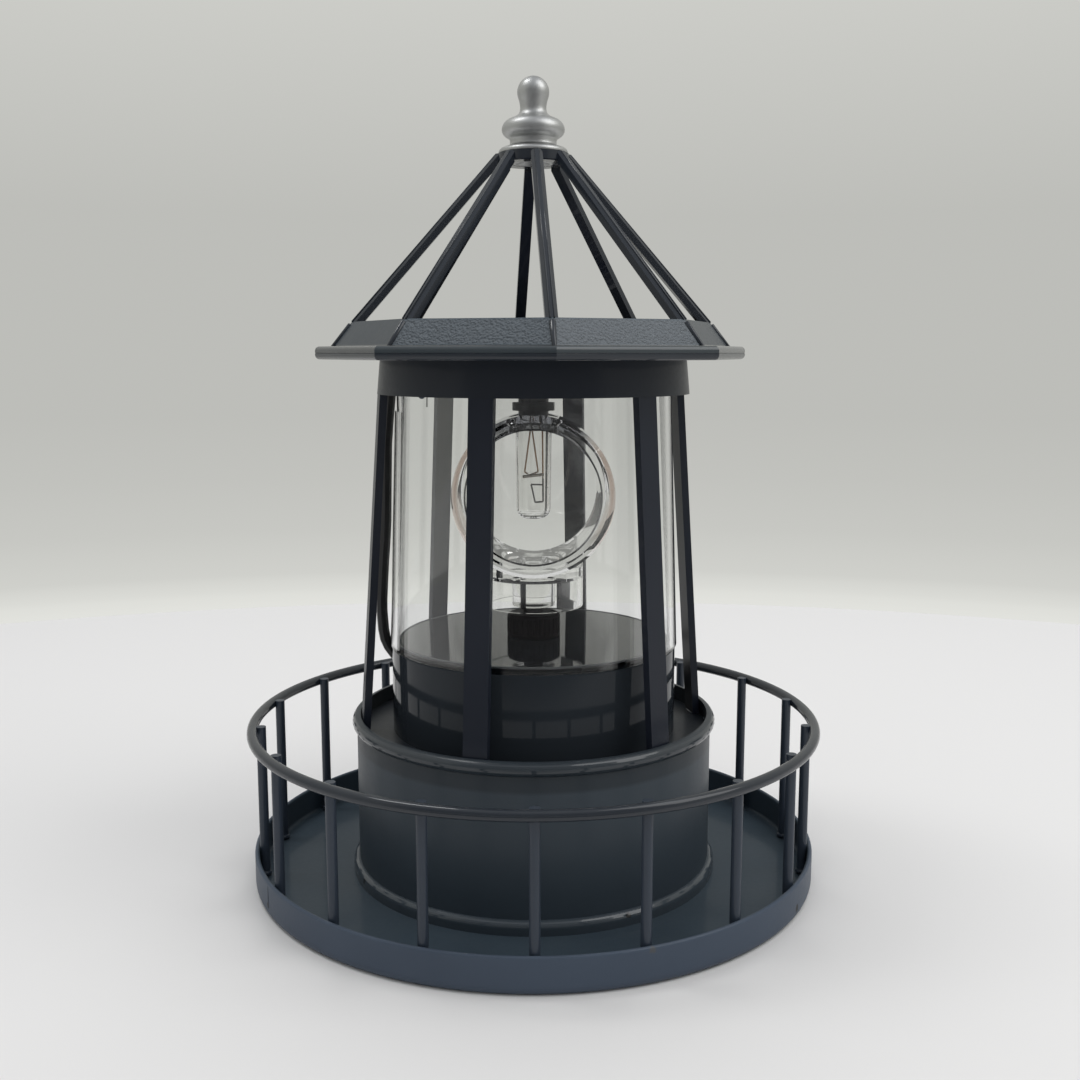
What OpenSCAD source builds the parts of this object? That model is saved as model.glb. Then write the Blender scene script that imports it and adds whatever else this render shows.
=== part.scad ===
// Garden lighthouse ornament: the lantern room of a lighthouse as a free-standing solar light.
// Millimetres. Origin at the centre of the underside, +Z up, front towards -Y.
// Angles called turn count from the front (-Y) towards +X.

/* [Deck] */
// Outer radius of the round deck tray
deck_r = 73.9; // [68:0.1:78]
// Height of the upright skirt above the ground
deck_h = 9.2; // [7:0.1:14]
// Thickness of the skirt
deck_wall = 1.2; // [1:0.1:1.6]
// Thickness of the deck floor
deck_floor = 1.4; // [1:0.1:2]
// Radius of the rounded edge under the skirt
deck_edge_r = 2; // [1.4:0.1:3]
// Radius of the fillet between the floor and the skirt
deck_fillet_r = 1.2; // [0.8:0.1:2]

/* [Railing] */
// Diameter of the rail's round bar
rail_bar_d = 2.75; // [2.2:0.05:3.4]
// Height of the rail's centre above the skirt
rail_rise = 31.5; // [24:0.1:36]
// Number of balusters
baluster_count = 18; // [12:1:18]
// Diameter of a baluster's round bar
baluster_d = 2.5; // [2:0.1:3]
// How far a baluster's tip stands above the rail's centre
baluster_tip = 0.9; // [0.4:0.1:1.2]
// How deep a baluster is let into the rail
rail_sink = 0.4; // [0.2:0.05:0.6]
// Turn of the first baluster from the front, in degrees
baluster_turn = 0.5; // [0:0.5:19]

/* [Drum] */
// Room between the lantern tube's foot and the drum's wall
drum_room = 8.2; // [7.8:0.1:10]
// Thickness of the drum's wall
drum_wall = 0.9; // [0.8:0.1:1.2]
// Height of the drum's top plate above the deck floor
drum_h = 37.7; // [30:0.1:44]
// Thickness of the drum's top plate
drum_top_t = 1.4; // [1:0.1:2]
// Height of the rim above the top plate
drum_rim_h = 4.1; // [3.8:0.1:6]
// Section radius of the bead round the rim
rim_bead_r = 1.8; // [1.4:0.1:1.8]
// How far the rim's bead stands out of the wall
rim_bead_out = 1.2; // [0.8:0.1:1.3]
// Section radius of the bead round the foot
foot_bead_r = 1.7; // [1.2:0.1:2]
// How far the foot's bead stands out of the wall
foot_bead_out = 1.6; // [0.8:0.1:1.6]

/* [Cage] */
// Number of cage posts
post_count = 6; // [4:1:6]
// Width of a post
post_w = 6.1; // [4.5:0.1:7]
// Thickness of a post
post_t = 1.9; // [1.4:0.1:2.1]
// Height from the drum's top plate to the collar
lantern_h = 87.5; // [80:0.5:100]
// How far a post's head keeps inside the collar's outer face
post_head_inset = 0.1; // [0.05:0.05:0.4]
// Turn of the front left post from the front, in degrees
post_turn = -17.3; // [-24:0.1:-12]

/* [Motor housing] */
// How far the housing's wall lies inside the tube's foot
housing_inset = 0.4; // [0.2:0.1:0.8]
// Height of the housing's shoulder above the drum's top plate
housing_h = 22.3; // [21:0.1:26]
// Thickness of the housing's wall
housing_wall = 1.2; // [1:0.1:1.4]
// Thickness of the housing's floor
housing_floor = 1.4; // [1:0.1:2]
// Width of the ledge that carries the lid
ledge_w = 2.1; // [1.5:0.1:3]
// Thickness of that ledge
ledge_t = 1.5; // [1:0.1:2]
// Height of the lid above the shoulder
lid_rise = 1.6; // [1:0.1:2.4]
// Thickness of the lid below the shoulder
lid_sink = 1.5; // [1:0.1:2]
// Radius on the upper edges of the lid and the housing
lid_edge_r = 0.4; // [0.2:0.1:0.6]
// Clearance between the lid and what surrounds it
lid_gap = 0.2; // [0.1:0.05:0.4]

/* [Lantern tube] */
// Outer radius of the tube at its foot
tube_foot_r = 37.7; // [36:0.1:40]
// How much narrower the tube is where the cable's relief starts
tube_taper = 2.1; // [1:0.1:3]
// Least room for the cable between the tube's relief and the collar
cable_room = 2.9; // [2.8:0.1:3.2]
// Thickness of the tube's wall
tube_wall = 1.6; // [1.2:0.1:1.8]
// Depth of the cable's relief in the tube's wall
relief_depth = 0.5; // [0.3:0.1:0.8]
// Height of the relief that shows under the collar
relief_h = 4.3; // [2:0.1:8]
// Span of the relief round the tube, in degrees
relief_span = 56; // [20:1:80]
// Radius on the tube's rims
tube_edge_r = 0.4; // [0.2:0.1:0.6]

/* [Collar and ceiling] */
// Thickness of the collar at its lower edge
collar_foot_t = 2; // [1.8:0.1:2.6]
// Thickness of the collar under the eave
collar_head_t = 1.2; // [1.1:0.1:1.6]
// Height of the collar
collar_h = 8.6; // [7.8:0.1:12]
// Thickness of the ceiling plate
ceiling_t = 1.6; // [1.4:0.1:2]
// Least room between what the ceiling's well holds and its wall
well_margin = 2.6; // [1:0.1:4]
// Thickness of the well's wall
well_wall = 1.4; // [1:0.1:2]
// Thickness of the well's floor
well_floor = 1.2; // [1:0.1:1.6]
// Clearance between the well and the collar
well_gap = 0.1; // [0.05:0.05:0.2]

/* [Roof] */
// Turn of the roof's front corner from the front, in degrees
roof_turn = 5.5; // [0:0.5:20]
// How far the eave's corners stand out past the collar
eave_out = 15.4; // [14:0.1:20]
// Radius on the lip's lower and upper edges
lip_round = 1.2; // [0.8:0.1:1.2]
// Radius on the two edges that meet in the middle of the lip
lip_edge_r = 0.2; // [0.1:0.05:0.2]
// Thickness of the band's flange, the upper leaf of the lip
flange_t = 1.7; // [1.4:0.1:2.2]
// Width of the flange outside the sloped band, at the corners
flange_w = 4.6; // [4:0.1:6]
// How far the sloped band leans in, at the corners
band_run = 4.8; // [4:0.1:5.4]
// Height of the sloped band
band_h = 6.1; // [5.6:0.1:7]
// Thickness of the sloped band, measured level
band_wall = 1.9; // [1.4:0.1:2.2]
// Height from the band's head to the top of the apex ring
roof_rise = 41.5; // [30:0.5:50]
// Outer radius of the apex ring
apex_r = 9; // [8:0.1:10]
// Height of the apex ring
apex_h = 2.4; // [2:0.1:4]
// How far the ribs stand out past the apex ring
rib_head_out = 0.5; // [0.3:0.1:0.8]
// Width of a roof rib
rib_w = 2.9; // [2.6:0.1:4.5]
// Depth of a roof rib, square to its slope
rib_depth = 2.4; // [2:0.1:3]
// Width of the flat ridge along a rib
rib_ridge_w = 0.9; // [0.5:0.1:1.5]
// How far a rib's shoulders lie below its ridge
rib_shoulder = 0.8; // [0.5:0.1:1.5]

/* [Finial] */
// Height of the finial above the apex ring
finial_h = 18.9; // [16:0.1:24]
// Radius of the ball
ball_r = 4; // [3.5:0.1:4.4]
// Radius of the neck under the ball
neck_r = 3.2; // [2.6:0.1:3.4]
// Radius of the bulge
bulge_r = 7.9; // [7:0.1:8.6]
// Radius of the waist
waist_r = 5.85; // [5.3:0.05:6.2]
// Radius of the flange
finial_flange_r = 8.7; // [8.2:0.1:9]
// Height of the flange's upright edge
finial_flange_h = 0.8; // [0.6:0.1:1.2]
// Height of the slope from the flange to the waist
finial_slope_h = 1.4; // [1:0.1:2.2]
// Height of the waist
waist_h = 2; // [1:0.1:2.6]
// Height of the bulge
bulge_h = 4.4; // [4:0.1:6]
// Height of the hollow curve between the bulge and the neck
cove_h = 1.7; // [0.8:0.1:2]
// Outer radius of the hollow spigot
spigot_r = 5.2; // [4.6:0.1:5.6]
// Thickness of the spigot's wall
spigot_wall = 1.1; // [0.8:0.1:1.4]

/* [Lens] */
// Outer radius of the lens ring
lens_r = 20.75; // [18:0.05:21.5]
// Thickness of the lens ring
lens_wall = 3.75; // [3:0.05:5]
// Length of the lens ring along its axis
lens_len = 23.6; // [18:0.1:25]
// Height of the lens ring's axis above the lid
lens_rise = 37.7; // [36:0.1:39]
// Radius of the round opening on top, for the bulb
lens_mouth_r = 6.4; // [6:0.1:8]
// Bevel on the ring's outer rims
lens_bevel = 1.8; // [0.6:0.1:2.4]
// Chamfer on the ring's inner rims
lens_chamfer = 0.4; // [0.2:0.1:0.8]
// Outer radius of the clear cup under the ring
stem_r = 13; // [10:0.1:14]
// Thickness of the cup's wall and roof
stem_wall = 1.2; // [0.8:0.1:2]
// Radius of the boss inside the cup, which stands on the hub
boss_rod_r = 5.6; // [4:0.1:7]

/* [Drive] */
// Radius of the knurled hub
hub_r = 6.95; // [6:0.05:8]
// Height of the knurled hub
hub_h = 6; // [5:0.1:8]
// Radius of the hub's neck
hub_neck_r = 2.6; // [2.2:0.1:4]
// Height of the hub's neck
hub_neck_h = 2.1; // [1.4:0.1:2.6]
// Number of grooves round the hub
knurl_count = 30; // [20:1:36]
// Gap between the hub and the lid
hub_gap = 0.2; // [0.15:0.05:0.6]
// Radius of the motor shaft
shaft_r = 1.5; // [1.2:0.05:2]
// Running clearance round the shaft
shaft_gap = 0.05; // [0.02:0.01:0.08]
// Radius of the gear case
gear_case_r = 12; // [10:0.1:14]
// Height of the gear case
gear_case_h = 12; // [11:0.1:14]
// Radius of the motor can
motor_can_r = 10; // [8:0.1:11]
// Height of the motor can
motor_can_h = 5.6; // [4:0.1:5.8]

/* [Lamp] */
// Radius of the bulb's glass
bulb_r = 4.43; // [4:0.01:4.8]
// Height of the bulb's glass below the socket
bulb_h = 24.4; // [20:0.1:28]
// Thickness of the bulb's glass
bulb_wall = 0.6; // [0.5:0.05:0.8]
// Radius of the socket's body
socket_r = 3.9; // [3.7:0.1:4.4]
// Radius of the socket's flange
socket_flange_r = 5.45; // [5:0.05:5.8]
// Thickness of the socket's flange
socket_flange_t = 2; // [1.4:0.1:2.6]
// How far the flange hangs below the ceiling
socket_flange_drop = 4.7; // [4.2:0.1:5]
// How far the socket's lower end hangs below the ceiling
socket_drop = 10.3; // [9.6:0.1:10.6]
// Outer radius of the socket's nut
socket_nut_r = 6; // [5.4:0.1:7]
// Thickness of the socket's nut
socket_nut_t = 1.6; // [1.2:0.1:2]

/* [Electrics] */
// Least width of the bezel round the square solar panel
bezel_rim = 2.1; // [1.6:0.1:8]
// Thickness of the solar panel
panel_t = 1.5; // [1.3:0.1:1.7]
// Thickness of the bezel under the band's head
bezel_t = 2.4; // [2.2:0.1:2.6]
// Depth of the bezel's recess for the panel
recess_depth = 1.2; // [1:0.1:1.4]
// Diameter of the cell
cell_d = 10.5; // [9:0.1:10.5]
// Length of the cell without its cap
cell_len = 43.7; // [36:0.1:44]
// Length of the circuit board
board_len = 34; // [24:0.5:36]
// Width of the circuit board
board_w = 18; // [14:0.5:20]
// Thickness of the circuit board
board_t = 1.6; // [1:0.1:1.6]
// Travel of the switch
switch_travel = 3; // [2:0.1:4]
// Width of the switch's knob across its travel
knob_w = 2.2; // [1.8:0.1:2.4]
// Length of the switch's knob along its travel
knob_len = 3; // [2.4:0.1:3.6]
// How far the knob stands out of the eave
knob_out = 1.3; // [1:0.1:2]

/* [Cable] */
// Diameter of the power cable
cable_d = 3; // [2.4:0.1:3.1]
// Turn of the cable from the front, in degrees
cable_turn = -93; // [-100:1:-90]
// How far the cable bows out of the tube above its foot
cable_bow = 1.2; // [1:0.1:1.4]

/* [Hidden] */
$fn = 96;
posts = [for (i = [1:post_count]) str("cage_post_", i)];
rib_count = 8;
ribs = [for (i = [1:rib_count]) str("roof_rib_", i)];
function two_digits(i) = i < 10 ? str("0", i) : str(i);
balusters = [for (i = [1:baluster_count]) str("baluster_", two_digits(i))];
singles = [
    "deck", "rail", "drum", "motor_housing", "housing_lid", "motor", "motor_shaft",
    "drive_hub", "lens_carrier", "clear_tube", "power_cable", "lamp_socket", "socket_nut",
    "bulb_glass", "bulb_filament", "top_collar", "ceiling_plate", "circuit_board",
    "battery_holder", "battery", "switch_body", "switch_slider", "roof_band",
    "solar_bezel", "solar_panel", "apex_ring", "finial", "screws"
];

// Overrun of every cut
over = 1;
// Gap between curved or let-in faces that are joined
weld_gap = 0.05;
// Points on a quarter round
round_steps = 6;
// Points on a small edge
edge_steps = 3;
// Sides and corners of the octagonal roof
corner_step = 360 / rib_count;
// Share of a corner radius that reaches the middle of a side
side_share = cos(corner_step / 2);

// Deck and railing
deck_inner_r = deck_r - deck_wall;
baluster_r = deck_inner_r - weld_gap - baluster_d / 2;
rail_r = baluster_r + baluster_d / 2 - rail_sink + rail_bar_d / 2;
rail_z = deck_h + rail_rise;
baluster_foot_z = deck_floor + deck_fillet_r + weld_gap;

// Drum
drum_inner_r = tube_foot_r + drum_room;
drum_r = drum_inner_r + drum_wall;
drum_top_z = deck_floor + drum_h;
rim_bead_ring_r = drum_r + rim_bead_out - rim_bead_r;
rim_bead_z = drum_top_z + drum_rim_h - rim_bead_r;
foot_bead_ring_r = drum_r + foot_bead_out - foot_bead_r;
foot_bead_z = deck_floor + foot_bead_r;

// Contents of the ceiling's well, the board and the cell's cradle, which set its size with the tube
boss_r = 2;
boss_h = 2;
boss_inset = 4;
chip_side = 6;
chip_t = 1.2;
coil_r = 2.5;
coil_h = 3;
plug_size = [7, 4, 4];
board_room = 5;
board_y = -socket_nut_r - board_room - board_w / 2;
cell_cap_r = 1.9;
cell_cap_h = 0.8;
cell_gap = 0.05;
cell_room = 4.45;
cell_head_room = 0.35;
cradle_floor = 0.6;
cradle_wall = 1.3;
cradle_end = 1.6;
cradle_h = 7;
contact_gap = 0.4;
cradle_inner = cell_len + cell_cap_h + 2 * contact_gap;
cradle_len = cradle_inner + 2 * cradle_end;
cradle_w = cell_d + 2 * cradle_wall;
cell_y = socket_nut_r + cell_room + cradle_w / 2;
tube_head_r = tube_foot_r - tube_taper;
relief_r = tube_head_r - relief_depth;
well_inner_r = max(
    well_margin + norm([cradle_len / 2, cell_y + cradle_w / 2]),
    well_margin + norm([board_len / 2, board_y - board_w / 2]),
    relief_r + cable_room - well_gap - well_wall
);
well_r = well_inner_r + well_wall;
collar_bore_r = well_r + well_gap;
collar_foot_r = collar_bore_r + collar_foot_t;
collar_head_r = collar_bore_r + collar_head_t;

// Cage posts: their corners keep inside the drum's wall and under the collar's edge
collar_z = drum_top_z + lantern_h;
post_foot_r = sqrt(pow(drum_inner_r - weld_gap, 2) - pow(post_w / 2, 2)) - post_t / 2;
post_head_r = sqrt(pow(collar_foot_r - post_head_inset, 2) - pow(post_w / 2, 2)) - post_t / 2;

// Motor housing
shoulder_z = drum_top_z + housing_h;
housing_r = tube_foot_r - housing_inset;
housing_inner_r = housing_r - housing_wall;
lid_z = shoulder_z + lid_rise;
lid_under_z = shoulder_z - lid_sink;
lid_r = tube_foot_r - tube_wall - 4 * lid_gap;

// Roof
ceiling_z = collar_z + collar_h;
ceiling_top_z = ceiling_z + ceiling_t;
eave_r = collar_foot_r + eave_out;
band_foot_r = eave_r - flange_w;
band_head_r = band_foot_r - band_run;
flange_top_z = ceiling_top_z + flange_t;
band_head_z = flange_top_z + band_h;
band_slope = band_run / band_h;
apex_top_z = band_head_z + roof_rise;
rib_head_r = apex_r + rib_head_out;
rib_lean = atan((band_head_r - rib_head_r) / roof_rise);
rib_len = norm([band_head_r - rib_head_r, roof_rise]);
total_h = apex_top_z + finial_h;
waist_flare = 1;
bezel_top_gap = 0.6;
bezel_top_z = band_head_z - bezel_top_gap;
bezel_under_z = bezel_top_z - bezel_t;
bezel_edge_gap = 0.2;
bezel_r = band_head_r - band_wall - bezel_edge_gap;
panel_side = sqrt(2) * (bezel_r * side_share - bezel_rim) - 2 * bezel_edge_gap;
shelf_w = 1.6;
shelf_t = 1;
// Room left between the ceiling plate's top and the foot of the band's inner slope
band_inner_foot_r = band_foot_r - band_wall + bezel_edge_gap;
function band_inner_r(z) = min(band_inner_foot_r, band_head_r - band_wall + band_slope * (band_head_z - z));

// Ceiling's well, deep enough for the cell, and the tube under it
cell_z = bezel_under_z - cell_head_room - cell_d / 2;
well_floor_z = cell_z - cell_d / 2 - cell_gap - cradle_floor;
well_under_z = well_floor_z - well_floor;
well_drop = ceiling_z - well_under_z;
tube_top_z = well_under_z - well_gap;
relief_z = collar_z - relief_h;
function tube_r(z) = tube_foot_r + (tube_head_r - tube_foot_r) * (z - shoulder_z) / (relief_z - shoulder_z);

// Lens and drive
hub_z = lid_z + hub_gap;
hub_top_z = hub_z + hub_h;
hub_edge_r = 1;
stem_z = hub_top_z + hub_neck_h;
lens_z = lid_z + lens_rise;
lens_bore_r = lens_r - lens_wall;
knurl_r = 0.28;
knurl_margin = 0.9;
gear_case_floor = 1.4;
gear_case_bore_h = gear_case_h - gear_case_floor;
shaft_end_gap = 0.1;
shaft_in_hub = 4.5;
motor_lug_w = 7;
motor_lug_len = 36;
motor_lug_t = 1.2;

// Lamp
socket_z = well_under_z - socket_drop;
bulb_bottom_z = socket_z - bulb_h;
bulb_flare = 0.3;
bulb_shoulder_h = 1.2;
bulb_edge_r = 2.6;
bulb_mouth_r = socket_r - bulb_wall;
socket_flange_z = well_under_z - socket_flange_drop - socket_flange_t;
socket_head_h = well_floor + 2 * socket_nut_t;
socket_cavity_h = 2;

// Filament: places across the bulb, and heights above the bulb's lowest point
wire_r = 0.22;
bridge_wire_r = 0.4;
wire_head = [-0.6, 24.6];
wire_left = [-2.3, 12.1];
wire_dip = [-1.1, 11.2];
wire_right = [1.2, 12.1];
bridge_left = [-2.8, 10.8];
bridge_right = [2.7, 11.4];
mast_head = [2.3, 24.6];
mast_foot = [2.5, 4.3];
loop_top_left = [-0.6, 8.8];
loop_low_left = [0.4, 4.1];
loop_top_right = [2.45, 8.7];

// Switch
switch_turn = roof_turn + corner_step / 2 + 3 * corner_step;
switch_out = 1;
switch_r = collar_foot_r + switch_out;
switch_body_w = 4.6;
switch_wall = 0.8;
switch_body_h = 3;
switch_body_len = knob_len + switch_travel + 6 * switch_wall;
slot_gap = 0.2;
switch_plate_t = 1;
switch_plate_grow = 0.6;

// Screws of the eave
screw_r = 1;
screw_head_r = 2;
screw_head_h = 1;
screw_len = 2.8;
screw_gap = 0.05;
screw_ring_r = (band_inner_foot_r + eave_r) / 2 * side_share;
screw_count = 4;

// Cable: its route as [distance from the axis, height], from the ceiling down to the housing
cable_r = cable_d / 2;
cable_gap = 0.1;
cable_top_r = relief_r + cable_gap + cable_r + 5 * cable_gap;
cable_bow_z = 10.6;
// Least distance of the cable's centre from the axis at a height, plus a share of the bow
function cable_r_at(z, share) = tube_r(z) + cable_gap + cable_r + share * cable_bow;
bow_shares = [0.8, 0.65, 1, 1.25, 1, 0.3];
bow_heights = [
    relief_z - 3 * cable_d, shoulder_z + 3 * cable_bow_z, shoulder_z + 2 * cable_bow_z,
    shoulder_z + cable_bow_z, shoulder_z + cable_bow_z / 2, shoulder_z
];
entry_shares = [4 / 3, 8 / 3];
cable_route = concat(
    [
        [cable_top_r, well_floor_z + cable_d], [cable_top_r, well_under_z],
        [cable_top_r, collar_z - cable_gap]
    ],
    [for (i = [0:len(bow_shares) - 1]) [cable_r_at(bow_heights[i], bow_shares[i]), bow_heights[i]]],
    [
        [housing_r + cable_gap, shoulder_z - cable_d * entry_shares[0]],
        [housing_inner_r - cable_d, shoulder_z - cable_d * entry_shares[1]]
    ]
);
cable_steps = 2;
cable_sides = 8;
notch_w = cable_d + 4 * cable_gap;
notch_depth = 9.4;

function arc_points(x, z, r, from, to, steps = round_steps) = [
    for (i = [0:steps])
        let (a = from + (to - from) * i / steps)
            [x + r * cos(a), z + r * sin(a)]
];
function oval_points(x, z, rx, rz, from, to, steps = 2 * round_steps) = [
    for (i = [0:steps])
        let (a = from + (to - from) * i / steps)
            [x + rx * cos(a), z + rz * sin(a)]
];
// Smooth curve through the points of a route
function blend(a, b, c, d, t) =
    0.5 * (2 * b + (c - a) * t + (2 * a - 5 * b + 4 * c - d) * pow(t, 2)
        + (3 * b - a - 3 * c + d) * pow(t, 3));
function smooth_route(p) = concat(
    [
        for (i = [0:len(p) - 2])
            for (s = [0:cable_steps - 1])
                blend(p[max(i - 1, 0)], p[i], p[i + 1], p[min(i + 2, len(p) - 1)], s / cable_steps)
    ],
    [p[len(p) - 1]]
);

// Puts its children at a turn from the front, at a distance from the axis, at a height
module at(turn, r = 0, z = 0) {
    rotate([0, 0, turn]) translate([0, -r, z]) children();
}

// Turns an outline of [distance from the axis, height] into a plate square to the radius
module radial_plate(w) {
    rotate([90, 0, -90]) linear_extrude(w, center = true) children();
}

// A round solid from an outline that starts and ends on the axis or closes on itself
module turned(points) {
    rotate_extrude() polygon(points);
}

// An eight-cornered ring or plate whose outline is given at its corners
module octagon_turned(points) {
    rotate([0, 0, roof_turn - 90]) rotate_extrude($fn = rib_count) polygon(points);
}

module octagon(r, h) {
    rotate([0, 0, roof_turn - 90]) cylinder(r = r, h = h, $fn = rib_count);
}

// A round rod between two points of the lamp's front plane
module rod(a, b, r) {
    d = b - a;
    translate([a[0], 0, bulb_bottom_z + a[1]])
        rotate([0, atan2(d[0], d[1]), 0]) cylinder(r = r, h = norm(d));
}

module deck() {
    color("dimgray") turned(concat(
        [[0, 0]],
        arc_points(deck_r - deck_edge_r, deck_edge_r, deck_edge_r, -90, 0),
        arc_points(deck_r - deck_wall / 2, deck_h - deck_wall / 2, deck_wall / 2, 0, 180),
        arc_points(deck_inner_r - deck_fillet_r, deck_floor + deck_fillet_r, deck_fillet_r, 0, -90),
        [[0, deck_floor]]
    ));
}

module rail_bar(grow = 0) {
    translate([0, 0, rail_z])
        rotate_extrude() translate([rail_r, 0]) circle(r = rail_bar_d / 2 + grow);
}

module rail() {
    color("slategray") rail_bar();
}

module baluster(i) {
    color("dimgray") difference() {
        at(baluster_turn + 360 / baluster_count * i, baluster_r, baluster_foot_z)
            cylinder(r = baluster_d / 2, h = rail_z + baluster_tip - baluster_foot_z);
        rail_bar(weld_gap / 2);
    }
}

module drum() {
    rim_dip = sqrt(pow(rim_bead_r, 2) - pow(rim_bead_r - rim_bead_out, 2));
    rim_start = -asin(rim_dip / rim_bead_r);
    foot_end = asin(sqrt(pow(foot_bead_r, 2) - pow(foot_bead_r - foot_bead_out, 2)) / foot_bead_r);
    color("dimgray") turned(concat(
        [[drum_inner_r, deck_floor], [foot_bead_ring_r + foot_bead_r, deck_floor]],
        arc_points(foot_bead_ring_r, foot_bead_z, foot_bead_r, 0, foot_end),
        arc_points(rim_bead_ring_r, rim_bead_z, rim_bead_r, rim_start, 90, 2 * round_steps),
        [
            [drum_inner_r, drum_top_z + drum_rim_h], [drum_inner_r, drum_top_z], [0, drum_top_z],
            [0, drum_top_z - drum_top_t], [drum_inner_r, drum_top_z - drum_top_t]
        ]
    ));
}

module cage_post(i) {
    color("darkslategray") at(post_turn + 360 / post_count * i)
        radial_plate(post_w)
            polygon([
                [post_foot_r - post_t / 2, drum_top_z], [post_foot_r + post_t / 2, drum_top_z],
                [post_head_r + post_t / 2, collar_z], [post_head_r - post_t / 2, collar_z]
            ]);
}

module motor_housing() {
    ledge_r = housing_inner_r - ledge_w;
    color("black") difference() {
        turned(concat(
            [[0, drum_top_z], [housing_r, drum_top_z]],
            arc_points(housing_r - lid_edge_r, shoulder_z - lid_edge_r, lid_edge_r, 0, 90, edge_steps),
            [
                [housing_inner_r, shoulder_z], [housing_inner_r, lid_under_z], [ledge_r, lid_under_z],
                [ledge_r, lid_under_z - ledge_t], [housing_inner_r, lid_under_z - ledge_t],
                [housing_inner_r, drum_top_z + housing_floor], [0, drum_top_z + housing_floor]
            ]
        ));
        at(cable_turn, housing_r, shoulder_z - notch_depth)
            translate([-notch_w / 2, -over, 0])
                cube([notch_w, over + housing_wall + ledge_w + over, notch_depth + over]);
    }
}

module housing_lid() {
    color("dimgray") difference() {
        turned(concat(
            [
                [0, lid_under_z], [housing_inner_r - lid_gap, lid_under_z],
                [housing_inner_r - lid_gap, shoulder_z], [lid_r, shoulder_z]
            ],
            arc_points(lid_r - lid_edge_r, lid_z - lid_edge_r, lid_edge_r, 0, 90, edge_steps),
            [[0, lid_z]]
        ));
        translate([0, 0, lid_under_z - over])
            cylinder(r = shaft_r + shaft_gap, h = lid_rise + lid_sink + 2 * over);
    }
}

module motor() {
    color("silver") difference() {
        union() {
            translate([0, 0, lid_under_z - gear_case_h]) cylinder(r = gear_case_r, h = gear_case_h);
            translate([0, 0, lid_under_z - gear_case_h - motor_can_h])
                cylinder(r = motor_can_r, h = motor_can_h + weld_gap);
            translate([-motor_lug_len / 2, -motor_lug_w / 2, lid_under_z - motor_lug_t])
                cube([motor_lug_len, motor_lug_w, motor_lug_t]);
        }
        translate([0, 0, lid_under_z - gear_case_bore_h])
            cylinder(r = shaft_r + shaft_gap, h = gear_case_bore_h + over);
    }
}

module motor_shaft() {
    color("silver")
        translate([0, 0, lid_under_z - gear_case_bore_h + shaft_end_gap])
            cylinder(
                r = shaft_r, h = hub_z + shaft_in_hub - lid_under_z + gear_case_bore_h - shaft_end_gap
            );
}

module drive_hub() {
    color("black") difference() {
        turned(concat(
            [[0, hub_z], [hub_r, hub_z]],
            arc_points(hub_r - hub_edge_r, hub_top_z - hub_edge_r, hub_edge_r, 0, 90),
            [[hub_neck_r, hub_top_z], [hub_neck_r, stem_z], [0, stem_z]]
        ));
        for (i = [1:knurl_count])
            at(360 / knurl_count * i, hub_r, hub_z + knurl_margin)
                cylinder(r = knurl_r, h = hub_h - 2 * knurl_margin, $fn = 16);
        translate([0, 0, hub_z - over])
            cylinder(r = shaft_r + weld_gap / 2, h = over + shaft_in_hub + shaft_end_gap);
    }
}

module lens_carrier() {
    half = lens_len / 2;
    cup_top_z = lens_z - lens_r;
    cup_side_z = lens_z - sqrt(pow(lens_r, 2) - pow(stem_r, 2)) + lens_chamfer;
    mouth = lens_bore_r + lens_chamfer;
    color("azure") difference() {
        union() {
            translate([0, 0, lens_z]) rotate([90, 0, 0]) turned([
                [0, -half], [lens_r - lens_bevel, -half], [lens_r, -half + lens_bevel],
                [lens_r, half - lens_bevel], [lens_r - lens_bevel, half], [0, half]
            ]);
            difference() {
                union() {
                    translate([0, 0, stem_z]) cylinder(r = stem_r, h = cup_top_z - stem_z);
                    intersection() {
                        translate([0, 0, stem_z]) cylinder(r = stem_r, h = cup_side_z - stem_z);
                        translate([-lens_r, lens_bevel - half, stem_z + stem_wall])
                            cube([2 * lens_r, lens_len - 2 * lens_bevel, lens_r]);
                    }
                }
                translate([0, 0, stem_z - over])
                    cylinder(r = stem_r - stem_wall, h = cup_top_z - stem_wall - stem_z + over);
            }
            translate([0, 0, stem_z]) cylinder(r = boss_rod_r, h = cup_top_z - stem_z);
        }
        translate([0, 0, lens_z]) rotate([90, 0, 0]) turned([
            [0, -half - over], [mouth, -half - over], [mouth, -half], [lens_bore_r, lens_chamfer - half],
            [lens_bore_r, half - lens_chamfer], [mouth, half], [mouth, half + over], [0, half + over]
        ]);
        translate([0, 0, lens_z]) cylinder(r = lens_mouth_r, h = lens_r + over);
    }
}

module clear_tube() {
    foot_inner_r = tube_foot_r - tube_wall;
    color("lightcyan") difference() {
        turned(concat(
            [[foot_inner_r, shoulder_z]],
            arc_points(tube_foot_r - tube_edge_r, shoulder_z + tube_edge_r, tube_edge_r, -90, 0, edge_steps),
            [[tube_r(tube_top_z), tube_top_z], [tube_r(tube_top_z) - tube_wall, tube_top_z]]
        ));
        at(cable_turn) rotate([0, 0, -90 - relief_span / 2]) translate([0, 0, relief_z])
            rotate_extrude(angle = relief_span)
                translate([relief_r, 0]) square([tube_wall + over, tube_top_z - relief_z + over]);
    }
}

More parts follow.
